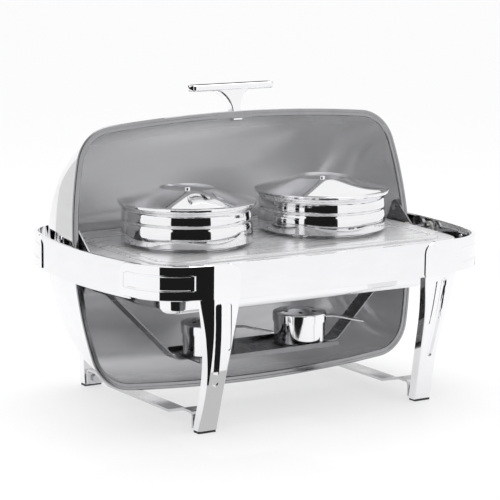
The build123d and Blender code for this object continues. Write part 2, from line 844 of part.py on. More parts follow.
with BuildPart() as right_strap:
    with BuildSketch(Plane.XZ):
        with BuildLine():
            FilletPolyline(
                (shelf_length / 2 - strap_bend_run, shelf_height - shelf_wall),
                (shelf_length / 2 + strap_bend_run, shelf_height - shelf_wall),
                (end_plate_inner, strap_low),
                (end_plate_inner, strap_high),
                radius=strap_bend_radius,
            )
            offset(amount=shelf_wall, side=Side.LEFT)
        make_face()
    extrude(amount=strap_width / 2, both=True)
    with BuildSketch(Plane.YZ.offset(end_plate_inner)):
        for side in (-1, 1):
            with Locations((side * shelf_screw_pitch / 2, shelf_screw_height)):
                Circle(shelf_screw_radius + thread_gap)
    extrude(amount=-2 * shelf_wall, mode=Mode.SUBTRACT)

with BuildPart() as burner_shelf:
    with BuildSketch(Plane.XY.offset(shelf_height - shelf_wall)):
        Rectangle(shelf_length, shelf_width)
    extrude(amount=shelf_wall + shelf_lip)
    with BuildSketch(Plane.XY.offset(shelf_height)):
        Rectangle(shelf_length, shelf_width - 2 * shelf_wall)
    extrude(amount=shelf_lip, mode=Mode.SUBTRACT)
    # rings that keep the burners in place
    with BuildSketch(Plane.XY.offset(shelf_height)):
        with Locations((-burner_offset, 0), (burner_offset, 0)):
            Circle(burner_radius + burner_lid_gap + shelf_ring_wall)
            Circle(burner_radius + burner_lid_gap, mode=Mode.SUBTRACT)
    extrude(amount=shelf_ring_height)
    add(right_strap.part)
    add(mirror(right_strap.part, about=Plane.YZ))

with BuildPart() as shelf_screws:
    for side_x in (-1, 1):
        for side_y in (-1, 1):
            seat = (side_x * end_plate_outer, side_y * shelf_screw_pitch / 2, shelf_screw_height)
            with BuildSketch(Plane(origin=seat, z_dir=(side_x, 0, 0))):
                Circle(2 * shelf_screw_radius)
            extrude(amount=screw_head_wall)
            with BuildSketch(Plane(origin=seat, z_dir=(side_x, 0, 0))):
                Circle(shelf_screw_radius)
            extrude(amount=-end_plate_wall - 2 * shelf_wall)

burner_top = shelf_height + burner_height
lid_skirt_radius = burner_radius + burner_lid_gap + burner_lid_wall
with BuildPart() as burner_cup:
    with BuildSketch(Plane.XZ):
        with BuildLine():
            FilletPolyline(
                (0, shelf_height),
                (burner_radius, shelf_height),
                (burner_radius, burner_top),
                radius=2 * burner_bend_radius,
            )
            offset(amount=burner_wall, side=Side.LEFT)
        make_face()
    revolve(axis=Axis.Z)

with BuildPart() as burner_lid:
    with BuildSketch(Plane.XZ):
        with BuildLine():
            FilletPolyline(
                (lid_skirt_radius, burner_top - burner_skirt),
                (lid_skirt_radius, burner_top + burner_lid_wall),
                (burner_radius - burner_dome, burner_top + burner_lid_wall),
                (2 * burner_dome, burner_top + burner_lid_wall + burner_dome),
                (0, burner_top + burner_lid_wall + burner_dome),
                radius=burner_bend_radius,
            )
            offset(amount=burner_lid_wall, side=Side.LEFT)
        make_face()
    revolve(axis=Axis.Z)
    # vents
    with BuildSketch(Plane.XY.offset(burner_top)):
        with PolarLocations(burner_vent_circle, 6):
            Circle(burner_vent_radius)
    extrude(amount=far, mode=Mode.SUBTRACT)

burner_turn = math.radians(burner_handle_angle)
burner_side = Plane(
    origin=(0, 0, 0),
    x_dir=(math.cos(burner_turn), math.sin(burner_turn), 0),
    z_dir=(math.sin(burner_turn), -math.cos(burner_turn), 0),
)
grip_top = burner_top - burner_skirt / 2
grip_end = lid_skirt_radius + burner_handle_length
with BuildPart() as burner_handle:
    with BuildSketch(burner_side):
        with BuildLine():
            FilletPolyline(
                (burner_radius, grip_top),
                (lid_skirt_radius + 0.2 * burner_handle_length, grip_top),
                (grip_end, grip_top - burner_handle_drop),
                radius=3 * burner_bend_radius,
            )
            offset(amount=burner_handle_wall, side=Side.RIGHT)
        make_face()
    extrude(amount=burner_handle_width / 2, both=True)
    # round end, and a root that fits the lid's skirt
    with BuildSketch():
        with Locations(Location((0, 0, 0), (0, 0, burner_handle_angle))):
            SlotOverall(2 * grip_end, burner_handle_width)
    extrude(amount=far, mode=Mode.INTERSECT)
    with BuildSketch():
        Circle(lid_skirt_radius)
    extrude(amount=far, mode=Mode.SUBTRACT)

write(burner_shelf.part, "burner_shelf")
write(shelf_screws.part, "shelf_screws")
for side, word in ((-1, "left"), (1, "right")):
    burner_place = Location((side * burner_offset, 0, 0))
    write(burner_cup.part.moved(burner_place), f"burner_cup_{word}")
    write(burner_lid.part.moved(burner_place), f"burner_lid_{word}")
    write(burner_handle.part.moved(burner_place), f"burner_handle_{word}")

# ---------------------------------------------------------------- roll-top cover
arm_inner = carrier_half_length + arm_gap
arm_outer = arm_inner + arm_wall
arm_plane = Plane(
    origin=(arm_inner, 0, pivot_height),
    x_dir=(0, math.sin(tilt), math.cos(tilt)),
    z_dir=(1, 0, 0),
)
arm_screw_side = arm_spread - arm_side_screw_inset
arm_screw_level = -arm_base - arm_side_screw_drop
arm_screw_places = (
    (0, arm_foot_screw_inset - arm_reach),
    (arm_screw_side, arm_screw_level),
    (-arm_screw_side, arm_screw_level),
)

handle_lean = math.radians(cover_tilt + handle_angle)
handle_radial = (0, math.sin(handle_lean), math.cos(handle_lean))
handle_plane = Plane(
    origin=(0, 0, pivot_height),
    x_dir=(1, 0, 0),
    z_dir=(0, -math.cos(handle_lean), math.sin(handle_lean)),
)
handle_top = shell_half_depth + handle_stand
bar_bottom = handle_top - handle_bar_wall
handle_root = shell_half_depth - handle_bar_wall


def turned_cover(grow):
    """The solid that the shell's profile sweeps behind the pivot axis."""
    with BuildPart() as turned:
        with BuildSketch(cover_plane):
            add(shell_outline(grow))
            with Locations((0, -far / 2)):
                Rectangle(2 * far, far, mode=Mode.SUBTRACT)
        revolve(axis=pivot_axis, revolution_arc=180)
    return turned.part


def across_handle(distance):
    """Plane square to the handle's stem at a distance from the pivot axis."""
    return Plane(
        origin=(0, distance * handle_radial[1], pivot_height + distance * handle_radial[2]),
        x_dir=(1, 0, 0),
        z_dir=handle_radial,
    )


cover_outside = turned_cover(0)
cover_inside = turned_cover(-shell_wall)
boss_limit = turned_cover(-shell_wall / 2)

with BuildPart() as right_bosses:
    with BuildSketch(arm_plane.offset(arm_wall)):
        with Locations(*arm_screw_places):
            Circle(arm_boss_radius)
    extrude(amount=far)
    add(boss_limit, mode=Mode.INTERSECT)
    with BuildSketch(arm_plane.offset(arm_wall)):
        with Locations(*arm_screw_places):
            Circle(arm_screw_radius + thread_gap)
    extrude(amount=arm_screw_bite, mode=Mode.SUBTRACT)

with BuildPart() as cover_shell:
    add(cover_outside)
    add(cover_inside, mode=Mode.SUBTRACT)
    split(bisect_by=rim_back, keep=Keep.BOTTOM)
    add(right_bosses.part)
    add(mirror(right_bosses.part, about=Plane.YZ))
    # screw holes under the handle
    with BuildSketch(across_handle(handle_root)):
        with Locations((-handle_screw_pitch / 2, 0), (handle_screw_pitch / 2, 0)):
            Circle(handle_screw_radius + stud_clearance)
    extrude(amount=2 * handle_bar_wall, mode=Mode.SUBTRACT)

with BuildPart() as cover_rim:
    with BuildSketch(rim_back):
        add(rim_outline())
        add(rim_outline(-rim_width), mode=Mode.SUBTRACT)
    extrude(amount=rim_wall)
    rim_front = cover_rim.faces().sort_by(Axis((0, 0, pivot_height), cover_plane.z_dir))[-1]
    fillet(rim_front.edges(), 0.4 * rim_wall)

with BuildPart() as handle_bar:
    with BuildSketch(across_handle(bar_bottom)):
        RectangleRounded(handle_length, handle_bar_width, 0.4 * handle_bar_width)
    extrude(amount=handle_bar_wall)
    radial_axis = Axis((0, 0, pivot_height), handle_radial)
    fillet(handle_bar.faces().sort_by(radial_axis)[-1].edges(), 0.3 * handle_bar_wall)
    fillet(handle_bar.faces().sort_by(radial_axis)[0].edges(), 0.3 * handle_bar_wall)

with BuildPart() as cover_handle:
    with BuildSketch(handle_plane) as handle_face:
        with Locations((0, (handle_root + handle_top) / 2)):
            Rectangle(handle_stem_width, handle_top - handle_root)
        with Locations((0, handle_top - handle_bar_wall / 2)):
            Rectangle(0.6 * handle_length, handle_bar_wall / 2)
        flare_low = handle_top - 0.75 * handle_bar_wall
        flare_corners = handle_face.vertices().sort_by_distance((0, flare_low, 0))[:2]
        fillet(flare_corners, handle_flare)
    extrude(amount=handle_stem_wall / 2, both=True)
    add(handle_bar.part)
    add(cover_outside, mode=Mode.SUBTRACT)
    with BuildSketch(across_handle(handle_root)):
        with Locations((-handle_screw_pitch / 2, 0), (handle_screw_pitch / 2, 0)):
            Circle(handle_screw_radius + thread_gap)
    extrude(amount=handle_screw_depth + handle_bar_wall, mode=Mode.SUBTRACT)

screw_seat = shell_half_depth - shell_wall - screw_head_wall
with BuildPart() as handle_screws:
    with BuildSketch(across_handle(screw_seat)):
        with Locations((-handle_screw_pitch / 2, 0), (handle_screw_pitch / 2, 0)):
            Circle(1.8 * handle_screw_radius)
    extrude(amount=2 * screw_head_wall)
    add(cover_inside, mode=Mode.INTERSECT)
    with BuildSketch(across_handle(screw_seat)):
        with Locations((-handle_screw_pitch / 2, 0), (handle_screw_pitch / 2, 0)):
            Circle(handle_screw_radius)
    extrude(amount=handle_screw_depth)

write(cover_shell.part, "cover_shell")
write(cover_rim.part, "cover_rim")
write(cover_handle.part, "cover_handle")
write(handle_screws.part, "handle_screws")

# ---------------------------------------------------------------- pivot arms and bushes
bush_bore = stud_body_radius + bush_running_gap
bush_outer = bush_bore + bush_wall
arm_foot = arm_reach - arm_corner_radius
arm_side = arm_spread - arm_corner_radius

with BuildPart() as right_pivot_arm:
    with BuildSketch(arm_plane):
        Circle(arm_eye_radius)
        with Locations((0, -arm_foot), (arm_side, -arm_base), (-arm_side, -arm_base)):
            Circle(arm_corner_radius)
        make_hull()
        Circle(bush_outer, mode=Mode.SUBTRACT)
        with Locations(*arm_screw_places):
            Circle(arm_screw_radius + stud_clearance, mode=Mode.SUBTRACT)
    extrude(amount=arm_wall)

with BuildPart() as arm_screws:
    with BuildSketch(arm_plane):
        with Locations(*arm_screw_places):
            Circle(arm_screw_head)
    extrude(amount=-screw_head_wall)
    with BuildSketch(arm_plane):
        with Locations(*arm_screw_places):
            Circle(arm_screw_radius)
    extrude(amount=arm_wall + arm_screw_bite)
    mirror(about=Plane.YZ)

with BuildPart() as pivot_bushes:
    with BuildSketch(arm_plane):
        Circle(bush_outer)
        Circle(bush_bore, mode=Mode.SUBTRACT)
    extrude(amount=arm_wall + bush_flange)
    with BuildSketch(arm_plane):
        Circle(bush_outer + bush_flange)
        Circle(bush_bore, mode=Mode.SUBTRACT)
    extrude(amount=-bush_flange_wall)
    mirror(about=Plane.YZ)

write(right_pivot_arm.part, "right_pivot_arm")
write(mirror(right_pivot_arm.part, about=Plane.YZ), "left_pivot_arm")
write(arm_screws.part, "arm_screws")
write(pivot_bushes.part, "pivot_bushes")
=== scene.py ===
"""Looks of a roll-top chafing dish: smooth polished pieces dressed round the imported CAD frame.

Lengths are in metres. +Z is up, -Y is the front, and the feet stand on Z = 0.
"""

import json
import math

import bmesh
import bpy
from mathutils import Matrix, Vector


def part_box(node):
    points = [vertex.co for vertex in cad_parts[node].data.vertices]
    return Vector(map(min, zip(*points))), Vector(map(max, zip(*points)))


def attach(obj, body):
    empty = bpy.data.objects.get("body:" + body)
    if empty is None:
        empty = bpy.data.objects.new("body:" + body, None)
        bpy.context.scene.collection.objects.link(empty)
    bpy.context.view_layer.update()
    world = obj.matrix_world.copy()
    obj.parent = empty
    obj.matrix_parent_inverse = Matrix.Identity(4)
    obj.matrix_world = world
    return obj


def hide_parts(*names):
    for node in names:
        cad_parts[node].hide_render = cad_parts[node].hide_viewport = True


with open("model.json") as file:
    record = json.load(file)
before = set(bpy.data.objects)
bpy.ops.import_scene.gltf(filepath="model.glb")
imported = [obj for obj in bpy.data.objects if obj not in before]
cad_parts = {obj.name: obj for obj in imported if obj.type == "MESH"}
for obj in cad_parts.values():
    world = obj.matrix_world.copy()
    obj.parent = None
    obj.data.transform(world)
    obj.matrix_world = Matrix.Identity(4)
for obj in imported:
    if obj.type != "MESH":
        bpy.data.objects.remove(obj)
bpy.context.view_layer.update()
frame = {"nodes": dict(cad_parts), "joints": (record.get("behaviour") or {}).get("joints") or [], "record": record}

MM = 0.001

# ------------------------------------------------------------------ sizes read from the frame
hinge = next(j for j in frame["joints"] if j["name"] == "cover_hinge")
PIVOT_Z = hinge["pos_m"][2]
STAND_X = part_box("right_band")[1].x
STAND_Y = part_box("rear_band")[1].y
BAND_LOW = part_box("rear_band")[0].z
BAND_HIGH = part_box("rear_band")[1].z
CARRIER_LOW, CARRIER_HIGH = (corner.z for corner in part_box("pan_carrier"))
PAN_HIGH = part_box("water_pan")[1]
POT_LOW, POT_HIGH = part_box("pot_right")
POT_X = (POT_LOW.x + POT_HIGH.x) / 2
LID_LOW, LID_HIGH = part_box("lid_right")
CUP_LOW, CUP_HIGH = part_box("burner_cup_right")
CUP_X = (CUP_LOW.x + CUP_HIGH.x) / 2
PLATE_SHEET = 1.2 * MM
PLATE_TOP = PAN_HIGH.z + PLATE_SHEET

# ------------------------------------------------------------------ sizes the frame doesn't state
COVER_TILT = math.radians(9)
SIDE_BOW = 33 * MM
FRONT_BOW = 13 * MM
STAND_CORNER = 84 * MM
RIM_X, RIM_Y = STAND_X - 9 * MM, STAND_Y - 12 * MM
RIM_BOW = 16 * MM
RIM_CORNER = 68 * MM
RIM_NEAR, RIM_FAR = 16 * MM, 21 * MM
RIM_WIDTH = 11 * MM
SHELL_INSET = 7 * MM
SHELL_BOWS = 34 * MM, 16 * MM
SHELL_CORNER = 61 * MM
SHELL_WALL = 1 * MM
CARRIER_X = RIM_X - SHELL_INSET - 17 * MM
CARRIER_Y = RIM_Y - SHELL_INSET - 31 * MM
CARRIER_BOWS = 14 * MM, 7 * MM
CARRIER_CORNER = 36 * MM


# ------------------------------------------------------------------ outlines and meshes
class Outline:
    """A bowed rectangle with round corners, walked by the direction of its normal."""

    def __init__(self, half_x, end_bow, half_y, face_bow, corner):
        reach_x, reach_y = half_x - end_bow, half_y - face_bow
        self.end = (end_bow**2 + reach_y**2) / (2 * end_bow)
        self.face = (face_bow**2 + reach_x**2) / (2 * face_bow)
        self.end_x, self.face_y = half_x - self.end, half_y - self.face
        self.corner = corner
        # the corner's centre is as far inside each big arc as its own radius
        apart = math.hypot(self.end_x, self.face_y)
        a, b = self.end - corner, self.face - corner
        forth = (a**2 - b**2 + apart**2) / (2 * apart)
        across = math.sqrt(a**2 - forth**2)
        dx, dy = -self.end_x / apart, self.face_y / apart
        self.cx = self.end_x + forth * dx - across * dy
        self.cy = forth * dy + across * dx
        self.low = math.atan2(self.cy, self.cx - self.end_x)
        self.high = math.atan2(self.cy - self.face_y, self.cx)

    def at(self, angle, grow=0.0):
        """Point of the outline where its normal has this angle, moved out by grow."""
        nx, ny = math.cos(angle), math.sin(angle)
        quarter = math.atan2(abs(ny), abs(nx))
        if quarter < self.low:
            x, y, radius = self.end_x, 0.0, self.end
        elif quarter < self.high:
            x, y, radius = self.cx, self.cy, self.corner
        else:
            x, y, radius = 0.0, self.face_y, self.face
        x = x + (radius + grow) * math.cos(quarter)
        y = y + (radius + grow) * math.sin(quarter)
        return math.copysign(x, nx), math.copysign(y, ny)

    def angles(self, start, end, step=4 * MM):
        """Angles from start to end, spaced evenly along the outline."""
        count = 4000
        fine = [start + (end - start) * i / count for i in range(count + 1)]
        points = [self.at(a) for a in fine]
        walked = [0.0]
        for (ax, ay), (bx, by) in zip(points, points[1:]):
            walked.append(walked[-1] + math.hypot(bx - ax, by - ay))
        pieces = max(2, round(walked[-1] / step))
        chosen, k = [], 0
        for i in range(pieces + 1):
            goal = walked[-1] * i / pieces
            while k < count and walked[k] < goal - 1e-9:
                k += 1
            chosen.append(fine[k])
        return chosen


def even_normals(thing):
    """Keep flat faces flat in reflections, and let the narrow rounds beside them bend."""
    weighted = thing.modifiers.new("even_normals", "WEIGHTED_NORMAL")
    weighted.keep_sharp = True
    weighted.weight = 90


def make_mesh(name, verts, faces, sharp=32):
    """A smooth-shaded object with clean outward normals."""
    mesh = bpy.data.meshes.new(name)
    mesh.from_pydata([tuple(v) for v in verts], [], faces)
    work = bmesh.new()
    work.from_mesh(mesh)
    bmesh.ops.remove_doubles(work, verts=work.verts, dist=2e-6)
    bmesh.ops.dissolve_degenerate(work, edges=work.edges, dist=1e-7)
    bmesh.ops.recalc_face_normals(work, faces=work.faces)
    work.to_mesh(mesh)
    work.free()
    for polygon in mesh.polygons:
        polygon.use_smooth = True
    mesh.set_sharp_from_angle(angle=math.radians(sharp))
    thing = bpy.data.objects.new(name, mesh)
    bpy.context.scene.collection.objects.link(thing)
    even_normals(thing)
    return thing


def grid_faces(rows, columns, close_rows=False, close_columns=False, base=0):
    """Quads of a grid of rows x columns points."""
    faces = []
    for i in range(rows if close_rows else rows - 1):
        for j in range(columns if close_columns else columns - 1):
            a, b = i, (i + 1) % rows
            c, d = j, (j + 1) % columns
            faces.append(
                (
                    base + a * columns + c,
                    base + b * columns + c,
                    base + b * columns + d,
                    base + a * columns + d,
                )
            )
    return faces


def loft(name, loops, closed=False, caps=True, sharp=32):
    """Skin over closed loops of equal length, with flat ends unless the loft closes on itself."""
    size = len(loops[0])
    verts = [v for loop in loops for v in loop]
    faces = grid_faces(len(loops), size, close_rows=closed, close_columns=True)
    if caps and not closed:
        faces.append(tuple(range(size)))
        faces.append(tuple(range((len(loops) - 1) * size, len(loops) * size)))
    return make_mesh(name, verts, faces, sharp)


def rounded_path(points, radius, closed=False, steps=5):
    """The same path with an arc at each corner."""
    count = len(points)
    result = []
    for i, here in enumerate(points):
        if not closed and i in (0, count - 1):
            result.append(here)
            continue
        before = Vector(points[i - 1]) - Vector(here)
        after = Vector(points[(i + 1) % count]) - Vector(here)
        half = before.angle(after) / 2
        reach = radius / math.tan(half)
        limit = 0.48 * min(before.length, after.length)
        size = radius * min(1.0, limit / reach)
        reach = min(reach, limit)
        start = Vector(here) + before.normalized() * reach
        finish = Vector(here) + after.normalized() * reach
        centre = Vector(here) + (before.normalized() + after.normalized()).normalized() * (
            size / math.sin(half)
        )
        first, last = start - centre, finish - centre
        turn = first.angle_signed(last)
        for k in range(steps + 1):
            a = -turn * k / steps
            c, s = math.cos(a), math.sin(a)
            result.append(
                (centre.x + first.x * c - first.y * s, centre.y + first.x * s + first.y * c)
            )
    return result


def thicken(path, wall):
    """Closed loop of a sheet whose outer side is the path and which lies to the path's left."""
    inner = []
    for i, here in enumerate(path):
        a = Vector(path[max(i - 1, 0)])
        b = Vector(path[min(i + 1, len(path) - 1)])
        way = (b - a).normalized()
        inner.append((here[0] - way.y * wall, here[1] + way.x * wall))
    return list(path) + inner[::-1]


def revolve(name, profile, centre_x, steps=160, sharp=32):
    """Turn a closed (radius, height) loop round a vertical axis at centre_x."""
    loops = []
    for i in range(steps):
        angle = 2 * math.pi * i / steps
        c, s = math.cos(angle), math.sin(angle)
        loops.append([(centre_x + max(r, 0.0) * c, max(r, 0.0) * s, z) for r, z in profile])
    return loft(name, loops, closed=True, sharp=sharp)


def along(stations, share):
    """Values at a share of the way, on a smooth curve through rows of (share, values)."""
    last = len(stations) - 1
    k = max(i for i in range(last) if share >= stations[i][0] - 1e-9 or i == 0)
    a, b = stations[k], stations[k + 1]
    before, after = stations[max(k - 1, 0)], stations[min(k + 2, last)]
    run = b[0] - a[0]
    t = min(1.0, (share - a[0]) / run)
    values = []
    for i in range(1, len(a)):
        start = (b[i] - before[i]) / (b[0] - before[0]) * run
        finish = (after[i] - a[i]) / (after[0] - a[0]) * run
        values.append(
            (2 * t**3 - 3 * t**2 + 1) * a[i]
            + (t**3 - 2 * t**2 + t) * start
            + (3 * t**2 - 2 * t**3) * b[i]
            + (t**3 - t**2) * finish
        )
    return values


def rounded_rectangle(half_x, half_y, radius, steps=10):
    """Points round a rectangle with round corners, counted anticlockwise."""
    points = []
    for sx, sy, start in ((1, 1, 0), (-1, 1, 90), (-1, -1, 180), (1, -1, 270)):
        for k in range(steps + 1):
            a = math.radians(start + 90 * k / steps)
            points.append(
                (
                    sx * (half_x - radius) + radius * math.cos(a),
                    sy * (half_y - radius) + radius * math.sin(a),
                )
            )
    return points


def cover_point(x, u, n):
    """Place in the cover: u from the hinge towards the handle's edge, n behind the rim plane."""
    s, c = math.sin(COVER_TILT), math.cos(COVER_TILT)
    return (x, u * s + n * c, PIVOT_Z + u * c - n * s)


def join(name, things):
    """One object made of several."""
    work = bmesh.new()
    for thing in things:
        work.from_mesh(thing.data)
        bpy.data.objects.remove(thing)
    mesh = bpy.data.meshes.new(name)
    work.to_mesh(mesh)
    work.free()
    whole = bpy.data.objects.new(name, mesh)
    bpy.context.scene.collection.objects.link(whole)
    even_normals(whole)
    return whole


def mirrored(thing, name, flip_x, flip_y):
    """A copy mirrored in the middle planes."""
    mesh = thing.data.copy()
    for vertex in mesh.vertices:
        vertex.co.x *= flip_x
        vertex.co.y *= flip_y
    if flip_x * flip_y < 0:
        mesh.flip_normals()
    copy = bpy.data.objects.new(name, mesh)
    bpy.context.scene.collection.objects.link(copy)
    even_normals(copy)
    return copy


def dress(thing, material, body, slot, *nodes):
    """Give a piece its material and body, and hide the CAD nodes that it stands for."""
    thing.data.materials.clear()
    thing.data.materials.append(material)
    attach(thing, body)
    if nodes:
        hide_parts(*nodes)
    return thing


# ------------------------------------------------------------------ materials
def steel(name, colour, roughness, grain=(60, 60, 60), spread=0.05, bump=0.02, metal=1.0):
    """Metal whose tone and polish drift a little along its grain."""
    material = bpy.data.materials.new(name)
    material.use_nodes = True
    nodes, links = material.node_tree.nodes, material.node_tree.links
    shader = nodes["Principled BSDF"]
    shader.inputs["Metallic"].default_value = metal
    place = nodes.new("ShaderNodeTexCoord")
    stretch = nodes.new("ShaderNodeMapping")
    stretch.inputs["Scale"].default_value = grain
    links.new(place.outputs["Object"], stretch.inputs["Vector"])
    noise = nodes.new("ShaderNodeTexNoise")
    noise.inputs["Scale"].default_value = 1.0
    noise.inputs["Detail"].default_value = 5.0
    links.new(stretch.outputs["Vector"], noise.inputs["Vector"])
    tone = nodes.new("ShaderNodeValToRGB")
    tone.color_ramp.elements[0].position = 0.3
    tone.color_ramp.elements[1].position = 0.7
    dark = [c * (1 - spread) for c in colour]
    tone.color_ramp.elements[0].color = (*dark, 1)
    tone.color_ramp.elements[1].color = (*colour, 1)
    links.new(noise.outputs["Fac"], tone.inputs["Fac"])
    links.new(tone.outputs["Color"], shader.inputs["Base Color"])
    polish = nodes.new("ShaderNodeMapRange")
    polish.inputs["From Min"].default_value = 0.3
    polish.inputs["From Max"].default_value = 0.7
    polish.inputs["To Min"].default_value = roughness * 0.75
    polish.inputs["To Max"].default_value = roughness * 1.25
    links.new(noise.outputs["Fac"], polish.inputs["Value"])
    links.new(polish.outputs["Result"], shader.inputs["Roughness"])
    ripple = nodes.new("ShaderNodeBump")
    ripple.inputs["Strength"].default_value = bump
    ripple.inputs["Distance"].default_value = 0.0005
    links.new(noise.outputs["Fac"], ripple.inputs["Height"])
    links.new(ripple.outputs["Normal"], shader.inputs["Normal"])
    return material


def plain(name, colour, roughness, speck=250):
    """Moulded rubber or plastic with a fine speckle."""
    material = bpy.data.materials.new(name)
    material.use_nodes = True
    nodes, links = material.node_tree.nodes, material.node_tree.links
    shader = nodes["Principled BSDF"]
    noise = nodes.new("ShaderNodeTexNoise")
    noise.inputs["Scale"].default_value = speck
    place = nodes.new("ShaderNodeTexCoord")
    links.new(place.outputs["Object"], noise.inputs["Vector"])
    tone = nodes.new("ShaderNodeValToRGB")
    tone.color_ramp.elements[0].color = (*[c * 0.85 for c in colour], 1)
    tone.color_ramp.elements[1].color = (*[min(1.0, c * 1.15) for c in colour], 1)
    links.new(noise.outputs["Fac"], tone.inputs["Fac"])
    links.new(tone.outputs["Color"], shader.inputs["Base Color"])
    shader.inputs["Roughness"].default_value = roughness
    return material


chrome = steel("cast chrome", (0.92, 0.92, 0.93), 0.045, (25, 25, 25), 0.02, 0.01)
polished = steel("polished sheet", (0.90, 0.90, 0.91), 0.06, (20, 20, 60), 0.03, 0.01)
# The cover's inner face is a lighter, partly diffuse copy of the sheet steel: painted light that lifts the shade
# in the hollow.
inner_sheet_lightened = steel("cover sheet", (0.97, 0.97, 0.98), 0.20, (6, 90, 90), 0.02, 0.0, 0.7)
deck = steel("deck sheet", (0.88, 0.88, 0.89), 0.3, (8, 70, 200), 0.10, 0.02, 0.55)
# The rim is the shell's polished steel, darkened here to paint in the grey reflection it shows round the cover's
# mouth.
rim_painted_reflection = steel("rolled rim painted grey", (0.36, 0.36, 0.37), 0.16, (40, 40, 40), 0.10, 0.02)
# A darker copy of the satin strip steel: painted shade for the shelf, pivot arms and carrier ends, standing in for
# the shadow they sit in.
satin_painted_shade = steel("satin strip with painted shade", (0.30, 0.30, 0.31), 0.3, (40, 12, 160), 0.12, 0.04)
satin = steel("satin strip", (0.66, 0.66, 0.67), 0.24, (40, 12, 160), 0.08, 0.04)
pot_steel = steel("pot steel", (0.90, 0.90, 0.91), 0.05, (30, 30, 220), 0.03, 0.01)
zinc = steel("fastener steel", (0.60, 0.60, 0.61), 0.22, (300, 300, 300), 0.08, 0.04)
rubber = plain("pad rubber", (0.03, 0.03, 0.03), 0.7)
nylon = plain("bush nylon", (0.80, 0.79, 0.74), 0.5)

finishes = {
    "cast_chrome": chrome,
    "polished_steel": polished,
    "brushed_steel": satin,
    "fastener_steel": zinc,
    "pad_rubber": rubber,
    "bush_plastic": nylon,
}
# pieces drawn straight from the frame whose material differs from that of their slot: the deck sheet, and a darker
# satin that paints shade on the strips
own_finish = {
    "pot_plate": deck,
    "burner_shelf": satin_painted_shade,
    "left_pivot_arm": satin_painted_shade,
    "right_pivot_arm": satin_painted_shade,
    "carrier_end_left": satin_painted_shade,
    "carrier_end_right": satin_painted_shade,
}
slot_of = {s["node"]: s["material_slot"] for s in frame["record"]["subparts"]}
for node, thing in frame["nodes"].items():
    thing.data.materials.clear()
    thing.data.materials.append(own_finish.get(node, finishes[slot_of[node]]))

# ------------------------------------------------------------------ cover
shell_outline = Outline(
    RIM_X - SHELL_INSET, SHELL_BOWS[0], RIM_Y - SHELL_INSET, SHELL_BOWS[1], SHELL_CORNER
)
rim_outline = Outline(RIM_X, SIDE_BOW, RIM_Y, RIM_BOW, RIM_CORNER)
SHELL_STEP, SHELL_STEPS = 3.5 * MM, 120
# the shell starts just clear of the rim's far face, where its inner side still has some height
CLEAR_OF_RIM = 1.0005 * RIM_FAR
half_turn = [
    a
    for a in shell_outline.angles(0.0, math.pi, SHELL_STEP)
    if shell_outline.at(a, -SHELL_WALL)[1] > CLEAR_OF_RIM
]


def shell_side(grow):
    """One side of the sheet: its outline turned about the hinge from rim face to rim face."""
    rows = []
    for angle in half_turn:
        x, r = shell_outline.at(angle, grow)
        lean = math.asin(min(1.0, RIM_FAR / r))
        row = []
        for j in range(SHELL_STEPS + 1):
            turn = lean + (math.pi - 2 * lean) * j / SHELL_STEPS
            row.append(cover_point(x, r * math.cos(turn), r * math.sin(turn)))
        rows.append(row)
    return rows


outer_side, inner_side = shell_side(0.0), shell_side(-SHELL_WALL)
shell_loops = [a + b[::-1] for a, b in zip(outer_side, inner_side)]
cover_shell = loft("cover_shell_skin", shell_loops, sharp=50)
dress(cover_shell, polished, "cover", "polished_steel", "cover_shell")
cover_shell.data.materials.append(inner_sheet_lightened)
axis_point = Vector((0, 0, PIVOT_Z))
# a face looks inward when it looks to the axis and half way to the middle along it
for polygon in cover_shell.data.polygons:
    inward = axis_point - polygon.center
    inward.x = -0.5 * polygon.center.x
    polygon.material_index = 1 if polygon.normal.dot(inward) > 0 else 0

full_turn = rim_outline.angles(0.0, 2 * math.pi, SHELL_STEP)[:-1]
BEAD_WIDTH, BEAD_RISE, RIM_ROUND = 5 * MM, 0.9 * MM, 2.2 * MM
rim_section = rounded_path(
    [
        (-RIM_WIDTH, RIM_FAR),
        (-RIM_WIDTH, RIM_NEAR + BEAD_RISE),
        (-1.05 * BEAD_WIDTH, RIM_NEAR + BEAD_RISE),
        (-BEAD_WIDTH, RIM_NEAR),
        (0.0, RIM_NEAR),
        (0.0, RIM_FAR),
    ],
    RIM_ROUND,
    closed=True,
)
rim_loops = []
for angle in full_turn:
    rim_loops.append([cover_point(*rim_outline.at(angle, g), n) for g, n in rim_section])
cover_rim = loft("cover_rim_roll", rim_loops, closed=True)
dress(cover_rim, rim_painted_reflection, "cover", "polished_steel", "cover_rim")

# ------------------------------------------------------------------ stand bands
stand_outline = Outline(STAND_X, SIDE_BOW, STAND_Y, FRONT_BOW, STAND_CORNER)
BAND_WALL, BAND_LIP, LIP_WALL, BAND_ROUND = 2 * MM, 4 * MM, 1.5 * MM, 0.7 * MM
LEG_SKIN, LEG_LAP = 1.8 * MM, 2.5 * MM
FRONT_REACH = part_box("rear_band")[1].x
SIDE_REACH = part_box("right_band")[1].y
band_section = rounded_path(
    [
        (0.0, BAND_LOW),
        (0.0, BAND_HIGH),
        (-BAND_LIP, BAND_HIGH),
        (-BAND_LIP, BAND_HIGH - LIP_WALL),
        (-BAND_WALL, BAND_HIGH - LIP_WALL),
        (-BAND_WALL, BAND_LOW + LIP_WALL),
        (-BAND_LIP, BAND_LOW + LIP_WALL),
        (-BAND_LIP, BAND_LOW),
    ],
    BAND_ROUND,
    closed=True,
    steps=3,
)


def band(name, start, end):
    """The bent sheet along one side of the stand."""
    loops = []
    for angle in stand_outline.angles(start, end, 5 * MM):
        loops.append([(*stand_outline.at(angle, g), z) for g, z in band_section])
    return loft(name, loops)


